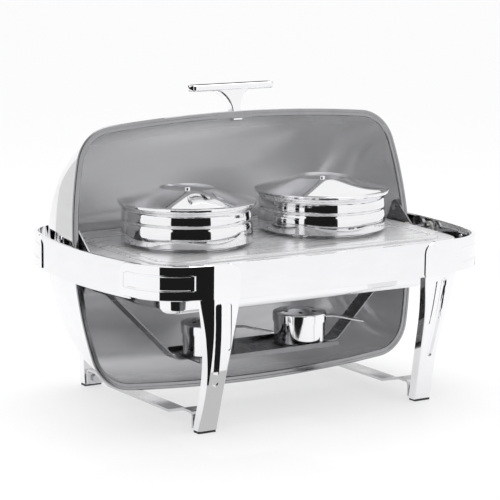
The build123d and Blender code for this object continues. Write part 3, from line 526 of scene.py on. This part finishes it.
face_swing = math.asin(FRONT_REACH / stand_outline.face)
end_swing = math.asin(SIDE_REACH / stand_outline.end)
quarter = math.pi / 2
front_band = band("front_band_sheet", -quarter - face_swing, -quarter + face_swing)
rear_band = band("rear_band_sheet", quarter - face_swing, quarter + face_swing)
right_band = band("right_band_sheet", -end_swing, end_swing)
left_band = band("left_band_sheet", math.pi - end_swing, math.pi + end_swing)
for thing, node in (
    (front_band, "front_band"),
    (rear_band, "rear_band"),
    (right_band, "right_band"),
    (left_band, "left_band"),
):
    dress(thing, polished, "stand", "polished_steel", node)

# ------------------------------------------------------------------ cast corner legs
LEG_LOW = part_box("leg_rear_right")[0]
LEG_INNER, CASTING_EDGE = LEG_LOW.x, LEG_LOW.y
CASTING_HEIGHT = 52 * MM
CASTING_LOW = BAND_HIGH - CASTING_HEIGHT
SEAM_RADIUS, CASTING_ROUND = 18 * MM, 1.2 * MM
INSET_HEIGHT, INSET_DEPTH = 25 * MM, 1 * MM
LEG_TOP_WIDTH, LEG_TOP_BEVEL = 66 * MM, 20 * MM
INSET_X, INSET_Y = LEG_INNER + LEG_TOP_WIDTH + 8 * MM, CASTING_EDGE + 8 * MM
BEAD_END, BEAD_SIDE = 9 * MM, 2.8 * MM
BEVEL_SLOPE = 0.4
LEG_EDGE, LEG_INNER_EDGE = 2.2 * MM, 1.6 * MM
CREASE_X = LEG_INNER + LEG_TOP_WIDTH - LEG_TOP_BEVEL
front_edge = stand_outline.face_y + math.sqrt(stand_outline.face**2 - LEG_INNER**2)
LEG_FACE = front_edge + LEG_SKIN

# share of the height, shift of the inner edge, width, lean, depth, bevel, all in mm
leg_stations = (
    (0.00, 15.0, 32, 40.5, 17, 3),
    (0.39, 10.95, 33, 22.3, 17, 4),
    (0.71, 6.75, 46, 7.7, 16, 11),
    (1.00, 0.0, 66, 0.0, 13, 20),
)
FOOT_SHIFT, FOOT_WIDTH, FOOT_LEAN, FOOT_DEPTH = (v * MM for v in leg_stations[0][1:5])


def leg_at(share):
    """The leg's section sizes at a share of its height."""
    return [value * MM for value in along(leg_stations, share)]


def slope_step(value, width):
    """0 below zero, 1 above width, smooth between."""
    t = min(1.0, max(0.0, value / width))
    return t * t * (3 - 2 * t)


FLUTE_HALF, FLUTE_EDGE, FLUTE_TOP = 5 * MM, 0.9 * MM, BAND_LOW - 4 * MM
FACE_STEPS = 66
flutes = (
    # foot, head, depth at the side towards the corner
    ((LEG_INNER + 28 * MM, 0.36 * BAND_LOW), (LEG_INNER + 38 * MM, FLUTE_TOP), 3.0 * MM),
    ((LEG_INNER + 14 * MM, 0.62 * BAND_LOW), (LEG_INNER + 20 * MM, FLUTE_TOP), 1.5 * MM),
)


def flute_depth(x, z):
    """Depth of the flutes at a place on the leg's face. Their floors slant towards the corner."""
    depth = 0.0
    for (ax, az), (bx, bz), deep in flutes:
        run = Vector((bx - ax, bz - az))
        way = run.normalized()
        up = (x - ax) * way.x + (z - az) * way.y
        across = (x - ax) * way.y - (z - az) * way.x
        inside = min(max(up, FLUTE_HALF), run.length - FLUTE_HALF)
        gap = FLUTE_HALF - math.hypot(across, up - inside)
        floor = deep * (0.12 + 0.88 * (across + FLUTE_HALF) / (2 * FLUTE_HALF))
        depth = max(depth, floor * slope_step(gap, FLUTE_EDGE))
    return depth


def leg_row(z, inset=0.0):
    """One level of the leg, anticlockwise from the foot of its inner side."""
    share = (min(z, BAND_LOW) - LEG_LOW.z) / (BAND_LOW - LEG_LOW.z)
    shift, width, lean, depth, bevel = leg_at(share)
    face = LEG_FACE - lean - inset
    inner = LEG_INNER + shift
    outer = inner + width - inset
    corner_y = face - BEVEL_SLOPE * bevel
    points = [(inner, face - depth), (outer, face - depth)]
    lean_angle = math.atan(BEVEL_SLOPE)
    centre_x = outer - LEG_EDGE
    centre_y = corner_y - LEG_EDGE * math.tan(math.pi / 4 - lean_angle / 2)
    for k in range(7):
        a = (math.pi / 2 - lean_angle) * k / 6
        points.append((centre_x + LEG_EDGE * math.cos(a), centre_y + LEG_EDGE * math.sin(a)))
    # across the bevel and the flat face, whose depth is filled in below
    crease = outer - bevel
    x = points[-1][0]
    points += [(x + (crease - x) * t, None) for t in (0.25, 0.5, 0.75, 0.92)]
    rounded = inner + LEG_INNER_EDGE
    points += [(crease + (rounded - crease) * k / FACE_STEPS, None) for k in range(FACE_STEPS + 1)]
    for k in range(1, 6):
        a = math.pi / 2 + math.pi / 2 * k / 5
        y = face - LEG_INNER_EDGE + LEG_INNER_EDGE * math.sin(a)
        points.append((rounded + LEG_INNER_EDGE * math.cos(a), y))
    row = []
    for x, y in points:
        if y is None:
            y = face - max(0.0, BEVEL_SLOPE * (x - crease))
            if x <= crease:
                y -= flute_depth(x, z)
        row.append((x, y, z))
    return row


# from the leg's flat face the casting turns into the corner over this run
CORNER_RUN, CORNER_TURN = 37 * MM, 0.17
run_x = CREASE_X + CORNER_RUN
corner_at = stand_outline.corner + LEG_SKIN
run_y = stand_outline.cy + math.sqrt(corner_at**2 - (run_x - stand_outline.cx) ** 2)
CORNER_CURVE = ((LEG_FACE - run_y) / CORNER_RUN - CORNER_TURN) / CORNER_RUN

PANEL_MIDDLE = (CASTING_LOW + BAND_HIGH) / 2


def panel_relief(x, y, z):
    """Height of the casting's outer face: a recessed panel with a bead inside its border."""
    ends = max(0.0, min(x - INSET_X, y - INSET_Y)) / BEAD_END
    sides = max(0.0, INSET_HEIGHT / 2 - abs(z - PANEL_MIDDLE)) / BEAD_SIDE
    if ends <= 0 or sides <= 0:
        return 0.0
    reach = 1 - math.hypot(1 - min(1.0, ends), 1 - min(1.0, sides))
    if reach <= 0:
        return 0.0
    bead = math.sqrt(max(0.0, 1 - (2 * reach - 1) ** 2))
    return -INSET_DEPTH + 1.15 * INSET_DEPTH * bead


def casting():
    """The part that wraps the corner, its seams rounded off at the top."""
    side_angle = math.asin(CASTING_EDGE / (stand_outline.end + LEG_SKIN))
    front_angle = math.acos(LEG_INNER / (stand_outline.face + LEG_SKIN))
    angles = stand_outline.angles(side_angle, front_angle, 0.75 * MM)
    # close steps where the outer face has detail, every fourth one elsewhere
    fine = []
    for k, a in enumerate(angles):
        x, y = stand_outline.at(a, LEG_SKIN)
        edge = x - LEG_INNER < 8 * MM or y - CASTING_EDGE < 8 * MM
        bead = -1 * MM < x - INSET_X < BEAD_END + 1 * MM or -1 * MM < y - INSET_Y < BEAD_END
        crease = abs(x - CREASE_X) < 2 * MM
        if edge or bead or crease or k % 4 == 0 or k in (1, len(angles) - 1):
            fine.append(a)
    shares = [0.0, 0.02, 0.05, 0.12, 0.2]
    for sign in (-1, 1):
        for k in range(15):
            away = INSET_HEIGHT / 2 + 0.2 * MM - k * (BEAD_SIDE + 0.4 * MM) / 14
            level = PANEL_MIDDLE + sign * away
            shares.append((level - CASTING_LOW) / (BAND_HIGH - CASTING_LOW))
    shares += [0.4, 0.5, 0.6, 0.8, 0.88, 0.95, 0.98, 1.0]
    shares = sorted(shares)
    loops = []
    for a in fine:
        x, y = stand_outline.at(a, LEG_SKIN)
        drop = 0.0
        for reach in (x - LEG_INNER, y - CASTING_EDGE):
            if reach < SEAM_RADIUS:
                near = SEAM_RADIUS - max(reach, 0.0)
                drop = max(drop, SEAM_RADIUS - math.sqrt(SEAM_RADIUS**2 - near**2))
        top = BAND_HIGH - drop
        loop = []
        for share in shares:
            z = CASTING_LOW + share * (top - CASTING_LOW)
            level = CASTING_LOW + share * (BAND_HIGH - CASTING_LOW)
            z = min(z, level) if drop else level
            edge = top - z if x < LEG_INNER + LEG_TOP_WIDTH else min(z - CASTING_LOW, top - z)
            short = max(0.0, CASTING_ROUND - edge)
            back = CASTING_ROUND - math.sqrt(max(0.0, CASTING_ROUND**2 - short**2))
            # the leg's flat face runs on to the top and turns into the corner
            past = x - CREASE_X
            face_y = LEG_FACE - max(0.0, past) * (CORNER_TURN + CORNER_CURVE * max(0.0, past))
            base_y = face_y if past < CORNER_RUN else y
            rise = panel_relief(x, y, level) - back
            loop.append((x + rise * math.cos(a), base_y + rise * math.sin(a), z))
        inner = stand_outline.at(a, -BAND_WALL - LEG_LAP)
        loop.append((*inner, top))
        loop.append((*inner, CASTING_LOW))
        loops.append(loop)
    return loft("casting", loops, sharp=40)


LEVELS, SOLE_EDGE, SHAFT_START, LAP_INSET = 150, 1 * MM, 2.2 * MM, 0.6 * MM
leg_levels = [LEG_LOW.z, LEG_LOW.z + SOLE_EDGE]
shaft_run = CASTING_LOW - LEG_LOW.z - SHAFT_START
leg_levels += [LEG_LOW.z + SHAFT_START + shaft_run * k / LEVELS for k in range(LEVELS + 1)]
leg_rows = [leg_row(z, SOLE_EDGE if z == LEG_LOW.z else 0.0) for z in leg_levels]
# the shaft runs a little way up inside the casting
leg_rows += [leg_row(CASTING_LOW + lap, LAP_INSET) for lap in (0.01 * MM, 4 * MM)]
leg_shaft = loft("leg_shaft", leg_rows, sharp=40)

FOOT_MIDDLE = LEG_INNER + FOOT_SHIFT + FOOT_WIDTH / 2
FOOT_BACK = LEG_FACE - FOOT_LEAN - FOOT_DEPTH
BOSS_Z, BOSS_STEPS = 14 * MM, 48
boss_loops = []
# how far each ring lies from the foot's back, and its radius
for reach, radius in ((6 * MM, 9 * MM), (-1.3 * MM, 9 * MM), (-2 * MM, 8.3 * MM)):
    loop = []
    for k in range(BOSS_STEPS):
        a = 2 * math.pi * k / BOSS_STEPS
        x, z = FOOT_MIDDLE + radius * math.cos(a), BOSS_Z + radius * math.sin(a)
        loop.append((x, FOOT_BACK + reach, z))
    boss_loops.append(loop)
leg_boss = loft("leg_boss", boss_loops)
leg_whole = join("leg_rear_right_cast", [casting(), leg_shaft, leg_boss])
legs = {
    "leg_rear_right": leg_whole,
    "leg_rear_left": mirrored(leg_whole, "leg_rear_left_cast", -1, 1),
    "leg_front_right": mirrored(leg_whole, "leg_front_right_cast", 1, -1),
    "leg_front_left": mirrored(leg_whole, "leg_front_left_cast", -1, -1),
}
for node, thing in legs.items():
    dress(thing, chrome, "stand", "cast_chrome", node)

# ------------------------------------------------------------------ cover handle
HANDLE_LEAN = COVER_TILT + math.radians(8.2)
SHELL_TOP = RIM_Y - SHELL_INSET
HANDLE_TOP = SHELL_TOP + 56 * MM
HANDLE_LONG, HANDLE_WIDE, HANDLE_THICK = 158 * MM, 22 * MM, 11 * MM
STEM_HALF, STEM_THICK = 8.5 * MM, 15 * MM
FLARE, FLARE_STEPS, FLARE_ROUND = 38 * MM, 24, 2.6 * MM
BAR_TILT, BAR_END, BAR_STEPS, BAR_ROUND_STEPS = math.radians(2), 9 * MM, 24, 40
# the bar's section is a squarish oval, and the smallest scale keeps its end from closing up
BAR_SQUARE_Y, BAR_SQUARE_Z, SMALLEST = 0.45, 0.55, 0.03


def handle_point(x, r, n):
    """Place by the handle: r out from the hinge along the stem, n behind the stem's middle."""
    s, c = math.sin(HANDLE_LEAN), math.cos(HANDLE_LEAN)
    return (x, r * s + n * c, PIVOT_Z + r * c - n * s)


def offset_loop(loop, distance):
    """The closed loop moved inwards."""
    moved = []
    for i, (x, y) in enumerate(loop):
        a = Vector(loop[i - 1])
        b = Vector(loop[(i + 1) % len(loop)])
        way = (b - a).normalized()
        moved.append((x - way.y * distance, y + way.x * distance))
    return moved


flare_low = HANDLE_TOP - 0.75 * HANDLE_THICK
wing = 0.375 * HANDLE_LONG
root = SHELL_TOP - 6 * MM
half_profile = [(STEM_HALF, root), (STEM_HALF, (root + flare_low - FLARE) / 2)]
for k in range(FLARE_STEPS + 1):
    a = math.pi - math.pi / 2 * k / FLARE_STEPS
    half_profile.append(
        (STEM_HALF + FLARE + FLARE * math.cos(a), flare_low - FLARE + FLARE * math.sin(a))
    )
half_profile += [(wing, flare_low), (wing, HANDLE_TOP - 0.4 * HANDLE_THICK)]
flare_loop = half_profile + [(-x, y) for x, y in reversed(half_profile)]
flare_loops = []
for sign in (-1, 1):
    rounds = []
    for k in range(6):
        a = math.radians(90 * k / 5)
        inward = FLARE_ROUND * (1 - math.cos(a))
        depth = STEM_THICK / 2 - FLARE_ROUND * (1 - math.sin(a))
        rounds.append(
            [handle_point(x, y, sign * depth) for x, y in offset_loop(flare_loop, inward)]
        )
    flare_loops += rounds[::-1] if sign < 0 else rounds
handle_flare = loft("handle_flare", flare_loops, sharp=40)

bar_y = (HANDLE_TOP - HANDLE_THICK / 2) * math.sin(HANDLE_LEAN)
bar_z = PIVOT_Z + (HANDLE_TOP - HANDLE_THICK / 2) * math.cos(HANDLE_LEAN)
tilt_s, tilt_c = math.sin(BAR_TILT), math.cos(BAR_TILT)
bar_loops = []
for k in range(-BAR_STEPS, BAR_STEPS + 1):
    # the section shrinks towards the round ends
    t = k / BAR_STEPS
    x = (HANDLE_LONG / 2) * math.copysign(abs(t) ** 0.75, t)
    over = max(0.0, abs(x) - (HANDLE_LONG / 2 - BAR_END)) / BAR_END
    scale = max(math.sqrt(max(0.0, 1 - over**2.6)), SMALLEST)
    half_w, half_t = HANDLE_WIDE / 2 * scale, HANDLE_THICK / 2 * scale**0.6
    section = []
    for j in range(BAR_ROUND_STEPS):
        a = 2 * math.pi * j / BAR_ROUND_STEPS
        c, s = math.cos(a), math.sin(a)
        py = half_w * math.copysign(abs(c) ** BAR_SQUARE_Y, c)
        pz = half_t * math.copysign(abs(s) ** BAR_SQUARE_Z, s)
        section.append((x, bar_y + py * tilt_c + pz * tilt_s, bar_z + pz * tilt_c - py * tilt_s))
    bar_loops.append(section)
handle_bar = loft("handle_bar", bar_loops, sharp=60)
cover_handle = join("cover_handle_cast", [handle_flare, handle_bar])
dress(cover_handle, chrome, "cover", "cast_chrome", "cover_handle")

# ------------------------------------------------------------------ pots, lids and burners
POT_WALL = 1.5 * MM
POT_NECK = 80 * MM
MOUTH = 109 * MM
POT_FOOT, FOOT_TOP, POT_STEPS = 104 * MM, 0.12, 88
rise = POT_HIGH.z - PLATE_TOP
# share of the height from the plate to the mouth, and radius in mm
pot_stations = (
    (FOOT_TOP, 104.0),
    (0.30, 104.3),
    (0.48, 103.2),
    (0.55, 101.6),
    (0.62, 103.0),
    (0.76, 102.6),
    (0.86, 103.4),
    (0.94, 108.2),
    (1.00, 109.0),
)


pot_foot = rounded_path(
    [
        (0.0, POT_LOW.z),
        (POT_NECK, POT_LOW.z),
        (POT_NECK, PLATE_TOP + 0.07 * rise),
        (POT_FOOT, PLATE_TOP + 0.085 * rise),
        (POT_FOOT, PLATE_TOP + FOOT_TOP * rise),
    ],
    4 * MM,
    steps=7,
)
pot_path = pot_foot[:-1]
for k in range(POT_STEPS + 1):
    share = FOOT_TOP + (1 - FOOT_TOP) * k / POT_STEPS
    pot_path.append((along(pot_stations, share)[0] * MM, PLATE_TOP + share * rise))
pot_profile = thicken(pot_path, POT_WALL)

LID_WALL = 1.2 * MM
LID_EDGE = LID_HIGH.x - POT_X
LID_TOP_RADIUS, DISH_DEPTH, DISH_SLOPE, LID_LIP = 43.5 * MM, 3 * MM, 5.5 * MM, 6 * MM
slope = (LID_HIGH.z - POT_HIGH.z - LID_WALL) / (LID_EDGE - LID_TOP_RADIUS)
plug = MOUTH - POT_WALL - 1.6 * MM
dish = LID_HIGH.z - DISH_DEPTH
dish_radius = LID_TOP_RADIUS - DISH_SLOPE
lid_profile = rounded_path(
    [
        (0.0, dish),
        (dish_radius, dish),
        (LID_TOP_RADIUS, LID_HIGH.z),
        (LID_EDGE - LID_LIP, POT_HIGH.z + LID_WALL + 4.6 * MM * slope),
        (LID_EDGE, POT_HIGH.z + LID_WALL),
        (LID_EDGE, POT_HIGH.z),
        (plug, POT_HIGH.z),
        (plug, LID_LOW.z),
        (plug - LID_WALL, LID_LOW.z),
        (plug - LID_WALL, POT_HIGH.z + (LID_EDGE - plug) * slope),
        (LID_TOP_RADIUS, LID_HIGH.z - 1.05 * LID_WALL),
        (dish_radius, dish - LID_WALL),
        (0.0, dish - LID_WALL),
    ],
    LID_WALL,
)

CUP_RADIUS = CUP_HIGH.x - CUP_X
cup_path = rounded_path(
    [(0.0, CUP_LOW.z), (CUP_RADIUS, CUP_LOW.z), (CUP_RADIUS, CUP_HIGH.z)], 4 * MM
)
CUP_WALL = 1.5 * MM
cup_profile = thicken(cup_path, CUP_WALL)

COLLAR_RADIUS, COLLAR_HEIGHT, COLLAR_ROUND = 89 * MM, 2.6 * MM, 0.9 * MM
collar_profile = rounded_path(
    [
        (POT_NECK - POT_WALL, PLATE_TOP),
        (COLLAR_RADIUS, PLATE_TOP),
        (COLLAR_RADIUS, PLATE_TOP + COLLAR_HEIGHT),
        (POT_NECK - POT_WALL, PLATE_TOP + COLLAR_HEIGHT),
    ],
    COLLAR_ROUND,
    closed=True,
)

for side, word in ((-1, "left"), (1, "right")):
    pot = revolve(f"pot_{word}_spun", pot_profile, side * POT_X, 192)
    collar = revolve(f"pot_{word}_collar", collar_profile, side * POT_X)
    pot = join(f"pot_{word}_body", [pot, collar])
    dress(pot, pot_steel, f"pot_{word}", "polished_steel", f"pot_{word}")
    lid = revolve(f"lid_{word}_spun", lid_profile, side * POT_X, 192)
    dress(lid, pot_steel, f"lid_{word}", "polished_steel", f"lid_{word}")
    cup = revolve(f"burner_cup_{word}_spun", cup_profile, side * CUP_X, 128)
    dress(cup, polished, "stand", "polished_steel", f"burner_cup_{word}")

# ------------------------------------------------------------------ pan carrier and water pan
carrier_outline = Outline(CARRIER_X, CARRIER_BOWS[0], CARRIER_Y, CARRIER_BOWS[1], CARRIER_CORNER)
NOTCH_HALF, NOTCH_TOP = 11 * MM, CARRIER_HIGH - 3 * MM
SHEET, OPENING_GAP = 2 * MM, 1.5 * MM
PAN_WALL, PAN_CORNER, FLOOR_ROUND = 1.5 * MM, 32 * MM, 8 * MM
PAN_DEPTH, PAN_FLANGE, FLANGE_WIDTH = 80 * MM, 1.2 * MM, 14 * MM
MOUTH_X, MOUTH_Y = PAN_HIGH.x - FLANGE_WIDTH, PAN_HIGH.y - FLANGE_WIDTH
# taken where one coordinate is zero and its side of the opening isn't met
FAR_OFF = 9
walk = carrier_outline.angles(0.0, 2 * math.pi, 4 * MM)[:-1]


def opening_loop(z, gap):
    """The pan's opening, one point for each of the outline's, by direction from the middle."""
    half_x, half_y, radius = MOUTH_X + gap, MOUTH_Y + gap, PAN_CORNER + gap
    points = []
    for angle in walk:
        x, y = carrier_outline.at(angle)
        scale = min(half_x / abs(x) if x else FAR_OFF, half_y / abs(y) if y else FAR_OFF)
        x, y = x * scale, y * scale
        over_x, over_y = abs(x) - (half_x - radius), abs(y) - (half_y - radius)
        if over_x > 0 and over_y > 0:
            far = math.hypot(over_x, over_y)
            x = math.copysign(half_x - radius + over_x * radius / far, x)
            y = math.copysign(half_y - radius + over_y * radius / far, y)
        points.append((x, y, z))
    return points


def carrier_loop(grow, z):
    """The carrier's outline at one level, lifted over the notches for the pivot studs."""
    points = []
    for angle in walk:
        x, y = carrier_outline.at(angle, grow)
        notched = abs(y) < NOTCH_HALF and abs(x) > MOUTH_X
        points.append((x, y, max(z, NOTCH_TOP) if notched else z))
    return points


carrier_loops = [
    opening_loop(CARRIER_HIGH - SHEET, OPENING_GAP),
    opening_loop(CARRIER_HIGH, OPENING_GAP),
]
DECK_EDGE = 2.2 * MM
for k in range(7):
    a = math.radians(90 * k / 6)
    in_by, down_by = DECK_EDGE * (1 - math.sin(a)), DECK_EDGE * (1 - math.cos(a))
    carrier_loops.append(carrier_loop(-in_by, CARRIER_HIGH - down_by))
# the skirt and the small bead at its foot
carrier_loops += [
    carrier_loop(0.0, CARRIER_LOW + 2.5 * MM),
    carrier_loop(1 * MM, CARRIER_LOW + 1.8 * MM),
    carrier_loop(1 * MM, CARRIER_LOW + 0.6 * MM),
    carrier_loop(0.2 * MM, CARRIER_LOW),
    carrier_loop(-SHEET, CARRIER_LOW),
    carrier_loop(-SHEET, CARRIER_HIGH - SHEET),
]
pan_carrier = loft("pan_carrier_deck", carrier_loops, closed=True)
dress(pan_carrier, deck, "stand", "polished_steel", "pan_carrier")

lean_in = math.tan(math.radians(4))


def pan_side(wall, top, floor):
    """Section of one face of the pan, as growth of its mouth and height, from the top down."""
    radius = FLOOR_ROUND - wall
    drop = PAN_HIGH.z - floor
    side = []
    for level in (top, floor + radius):
        side.append((-wall - lean_in * (PAN_HIGH.z - level), level))
    base = -wall - lean_in * drop
    for k in range(1, 8):
        a = math.radians(90 * k / 7)
        side.append((base - radius * (1 - math.cos(a)), floor + radius - radius * math.sin(a)))
    return side


PAN_FLOOR = PAN_HIGH.z - PAN_FLANGE - PAN_DEPTH
pan_top = PAN_HIGH.z
pan_section = pan_side(0.0, pan_top - PAN_FLANGE, PAN_FLOOR)[::-1]
pan_section += [(FLANGE_WIDTH, pan_top - PAN_FLANGE), (FLANGE_WIDTH, pan_top), (0.4 * MM, pan_top)]
pan_section += pan_side(PAN_WALL, pan_top - PAN_FLANGE / 2, PAN_FLOOR + PAN_WALL)
pan_loops = []
for grow, z in pan_section:
    outline = rounded_rectangle(MOUTH_X + grow, MOUTH_Y + grow, PAN_CORNER + grow, 14)
    pan_loops.append([(x, y, z) for x, y in outline])
water_pan = loft("water_pan_drawn", pan_loops)
dress(water_pan, polished, "water_pan", "polished_steel", "water_pan")

# ------------------------------------------------------------------ floor, light and camera
camera_azimuth = math.radians(-32.8)
camera_elevation = math.radians(10.1)
camera_roll = math.radians(0.6)
camera_distance = 3.6122
aim = Vector((-0.00689, 0.00444, 0.2344))
eye_way = Vector(
    (
        math.sin(camera_azimuth) * math.cos(camera_elevation),
        -math.cos(camera_azimuth) * math.cos(camera_elevation),
        math.sin(camera_elevation),
    )
)
camera_data = bpy.data.cameras.new("camera")
camera = bpy.data.objects.new("camera", camera_data)
bpy.context.scene.collection.objects.link(camera)
bpy.context.scene.camera = camera
camera_data.sensor_width, camera_data.lens = 36.0, 161.5
camera.location = aim + eye_way * camera_distance
camera.rotation_euler = (-eye_way).to_track_quat("-Z", "Y").to_euler()
camera.rotation_euler.rotate_axis("Z", camera_roll)

FLOOR_HALF, FLOOR_GLOW = 9, 0.55
signs = ((-1, -1), (1, -1), (1, 1), (-1, 1))
floor_corners = [(sx * FLOOR_HALF, sy * FLOOR_HALF, 0) for sx, sy in signs]
floor_mesh = bpy.data.meshes.new("floor")
floor_mesh.from_pydata(floor_corners, [], [(0, 1, 2, 3)])
floor = bpy.data.objects.new("floor", floor_mesh)
bpy.context.scene.collection.objects.link(floor)
floor_material = bpy.data.materials.new("pale floor")
floor_material.use_nodes = True
tree = floor_material.node_tree
floor_shader = tree.nodes["Principled BSDF"]
floor_shader.inputs["Base Color"].default_value = (0.93, 0.93, 0.94, 1)
floor_shader.inputs["Roughness"].default_value = 0.6
# to the camera and to reflections the floor is part glow, so that it is near white but shadowed
glow = tree.nodes.new("ShaderNodeEmission")
glow.inputs["Strength"].default_value = 1.0
ray = tree.nodes.new("ShaderNodeLightPath")
blend = tree.nodes.new("ShaderNodeMixShader")
seen = tree.nodes.new("ShaderNodeMath")
seen.operation = "MAXIMUM"
tree.links.new(ray.outputs["Is Camera Ray"], seen.inputs[0])
tree.links.new(ray.outputs["Is Glossy Ray"], seen.inputs[1])
glow_share = tree.nodes.new("ShaderNodeMath")
glow_share.operation = "MULTIPLY"
glow_share.inputs[1].default_value = FLOOR_GLOW
tree.links.new(seen.outputs["Value"], glow_share.inputs[0])
tree.links.new(glow_share.outputs["Value"], blend.inputs["Fac"])
tree.links.new(floor_shader.outputs["BSDF"], blend.inputs[1])
tree.links.new(glow.outputs["Emission"], blend.inputs[2])
tree.links.new(blend.outputs["Shader"], tree.nodes["Material Output"].inputs["Surface"])
floor_mesh.materials.append(floor_material)


def card(name, corners, strength):
    """A flat studio card that only reflections see."""
    mesh = bpy.data.meshes.new(name)
    mesh.from_pydata(corners, [], [tuple(range(len(corners)))])
    thing = bpy.data.objects.new(name, mesh)
    bpy.context.scene.collection.objects.link(thing)
    material = bpy.data.materials.new(name)
    material.use_nodes = True
    nodes = material.node_tree.nodes
    shine = nodes.new("ShaderNodeEmission")
    shine.inputs["Color"].default_value = (1, 1, 1, 1)
    shine.inputs["Strength"].default_value = strength
    material.node_tree.links.new(
        shine.outputs["Emission"], nodes["Material Output"].inputs["Surface"]
    )
    mesh.materials.append(material)
    thing.visible_camera = False
    thing.visible_diffuse = False
    thing.visible_shadow = False
    thing.visible_transmission = False


def wall(name, start, end, low, high, strength):
    """A card that stands upright."""
    (ax, ay), (bx, by) = start, end
    card(name, [(ax, ay, low), (bx, by, low), (bx, by, high), (ax, ay, high)], strength)


def table(name, corners, height, strength):
    """A card that lies flat."""
    card(name, [(x, y, height) for x, y in corners], strength)


left_end, right_end = (-0.954, -0.525), (0.018, -0.949)
near_corners = (left_end, right_end, (-0.17, -0.33), (-0.40, -0.26))
floor_shade_corners = ((-0.27, -0.17), (-0.02, -0.17), (-0.02, -0.32), (-0.27, -0.32))
far_corners = ((0.05, 0.55), (1.2, 0.55), (1.2, 1.25), (0.05, 1.25))
wall("dark flag", left_end, right_end, 0.0, 1.9, 0.012)
table("dark table", near_corners, 0.001, 0.012)
# A dim card seen only in reflections: painted shadow of the floor in front of the stand, which the legs' lower
# faces reflect as grey.
table("painted floor shade", floor_shade_corners, 0.0005, 0.56)
wall("grey room at the left", (-3.0, 2.0), (-0.5, 2.0), 0.0, 2.6, 0.74)
wall("dark strip behind the bar", (-0.35, 0.34), (0.45, 0.34), 0.475, 0.60, 0.02)
wall("dark strip beside the handle", (-0.14, 0.05), (-0.14, 0.45), 0.45, 0.64, 0.01)
wall("dark room behind", (0.7, 2.0), (2.6, 2.0), 0.8, 1.3, 0.02)
table("dark table behind", far_corners, 0.001, 0.02)

world = bpy.data.worlds.new("studio")
bpy.context.scene.world = world
world.use_nodes = True
sky = world.node_tree.nodes["Background"]
sky.inputs["Color"].default_value = (1, 1, 1, 1)
sky.inputs["Strength"].default_value = 1.0


def lamp(name, place, size, power):
    """A soft area lamp aimed at the object."""
    data = bpy.data.lights.new(name, "AREA")
    data.size = size
    data.energy = power
    thing = bpy.data.objects.new(name, data)
    bpy.context.scene.collection.objects.link(thing)
    thing.location = place
    thing.rotation_euler = (aim - Vector(place)).to_track_quat("-Z", "Y").to_euler()


lamp("overhead softbox", (0.3, 0.4, 2.2), 1.6, 18)
bpy.context.scene.view_settings.view_transform = "Standard"
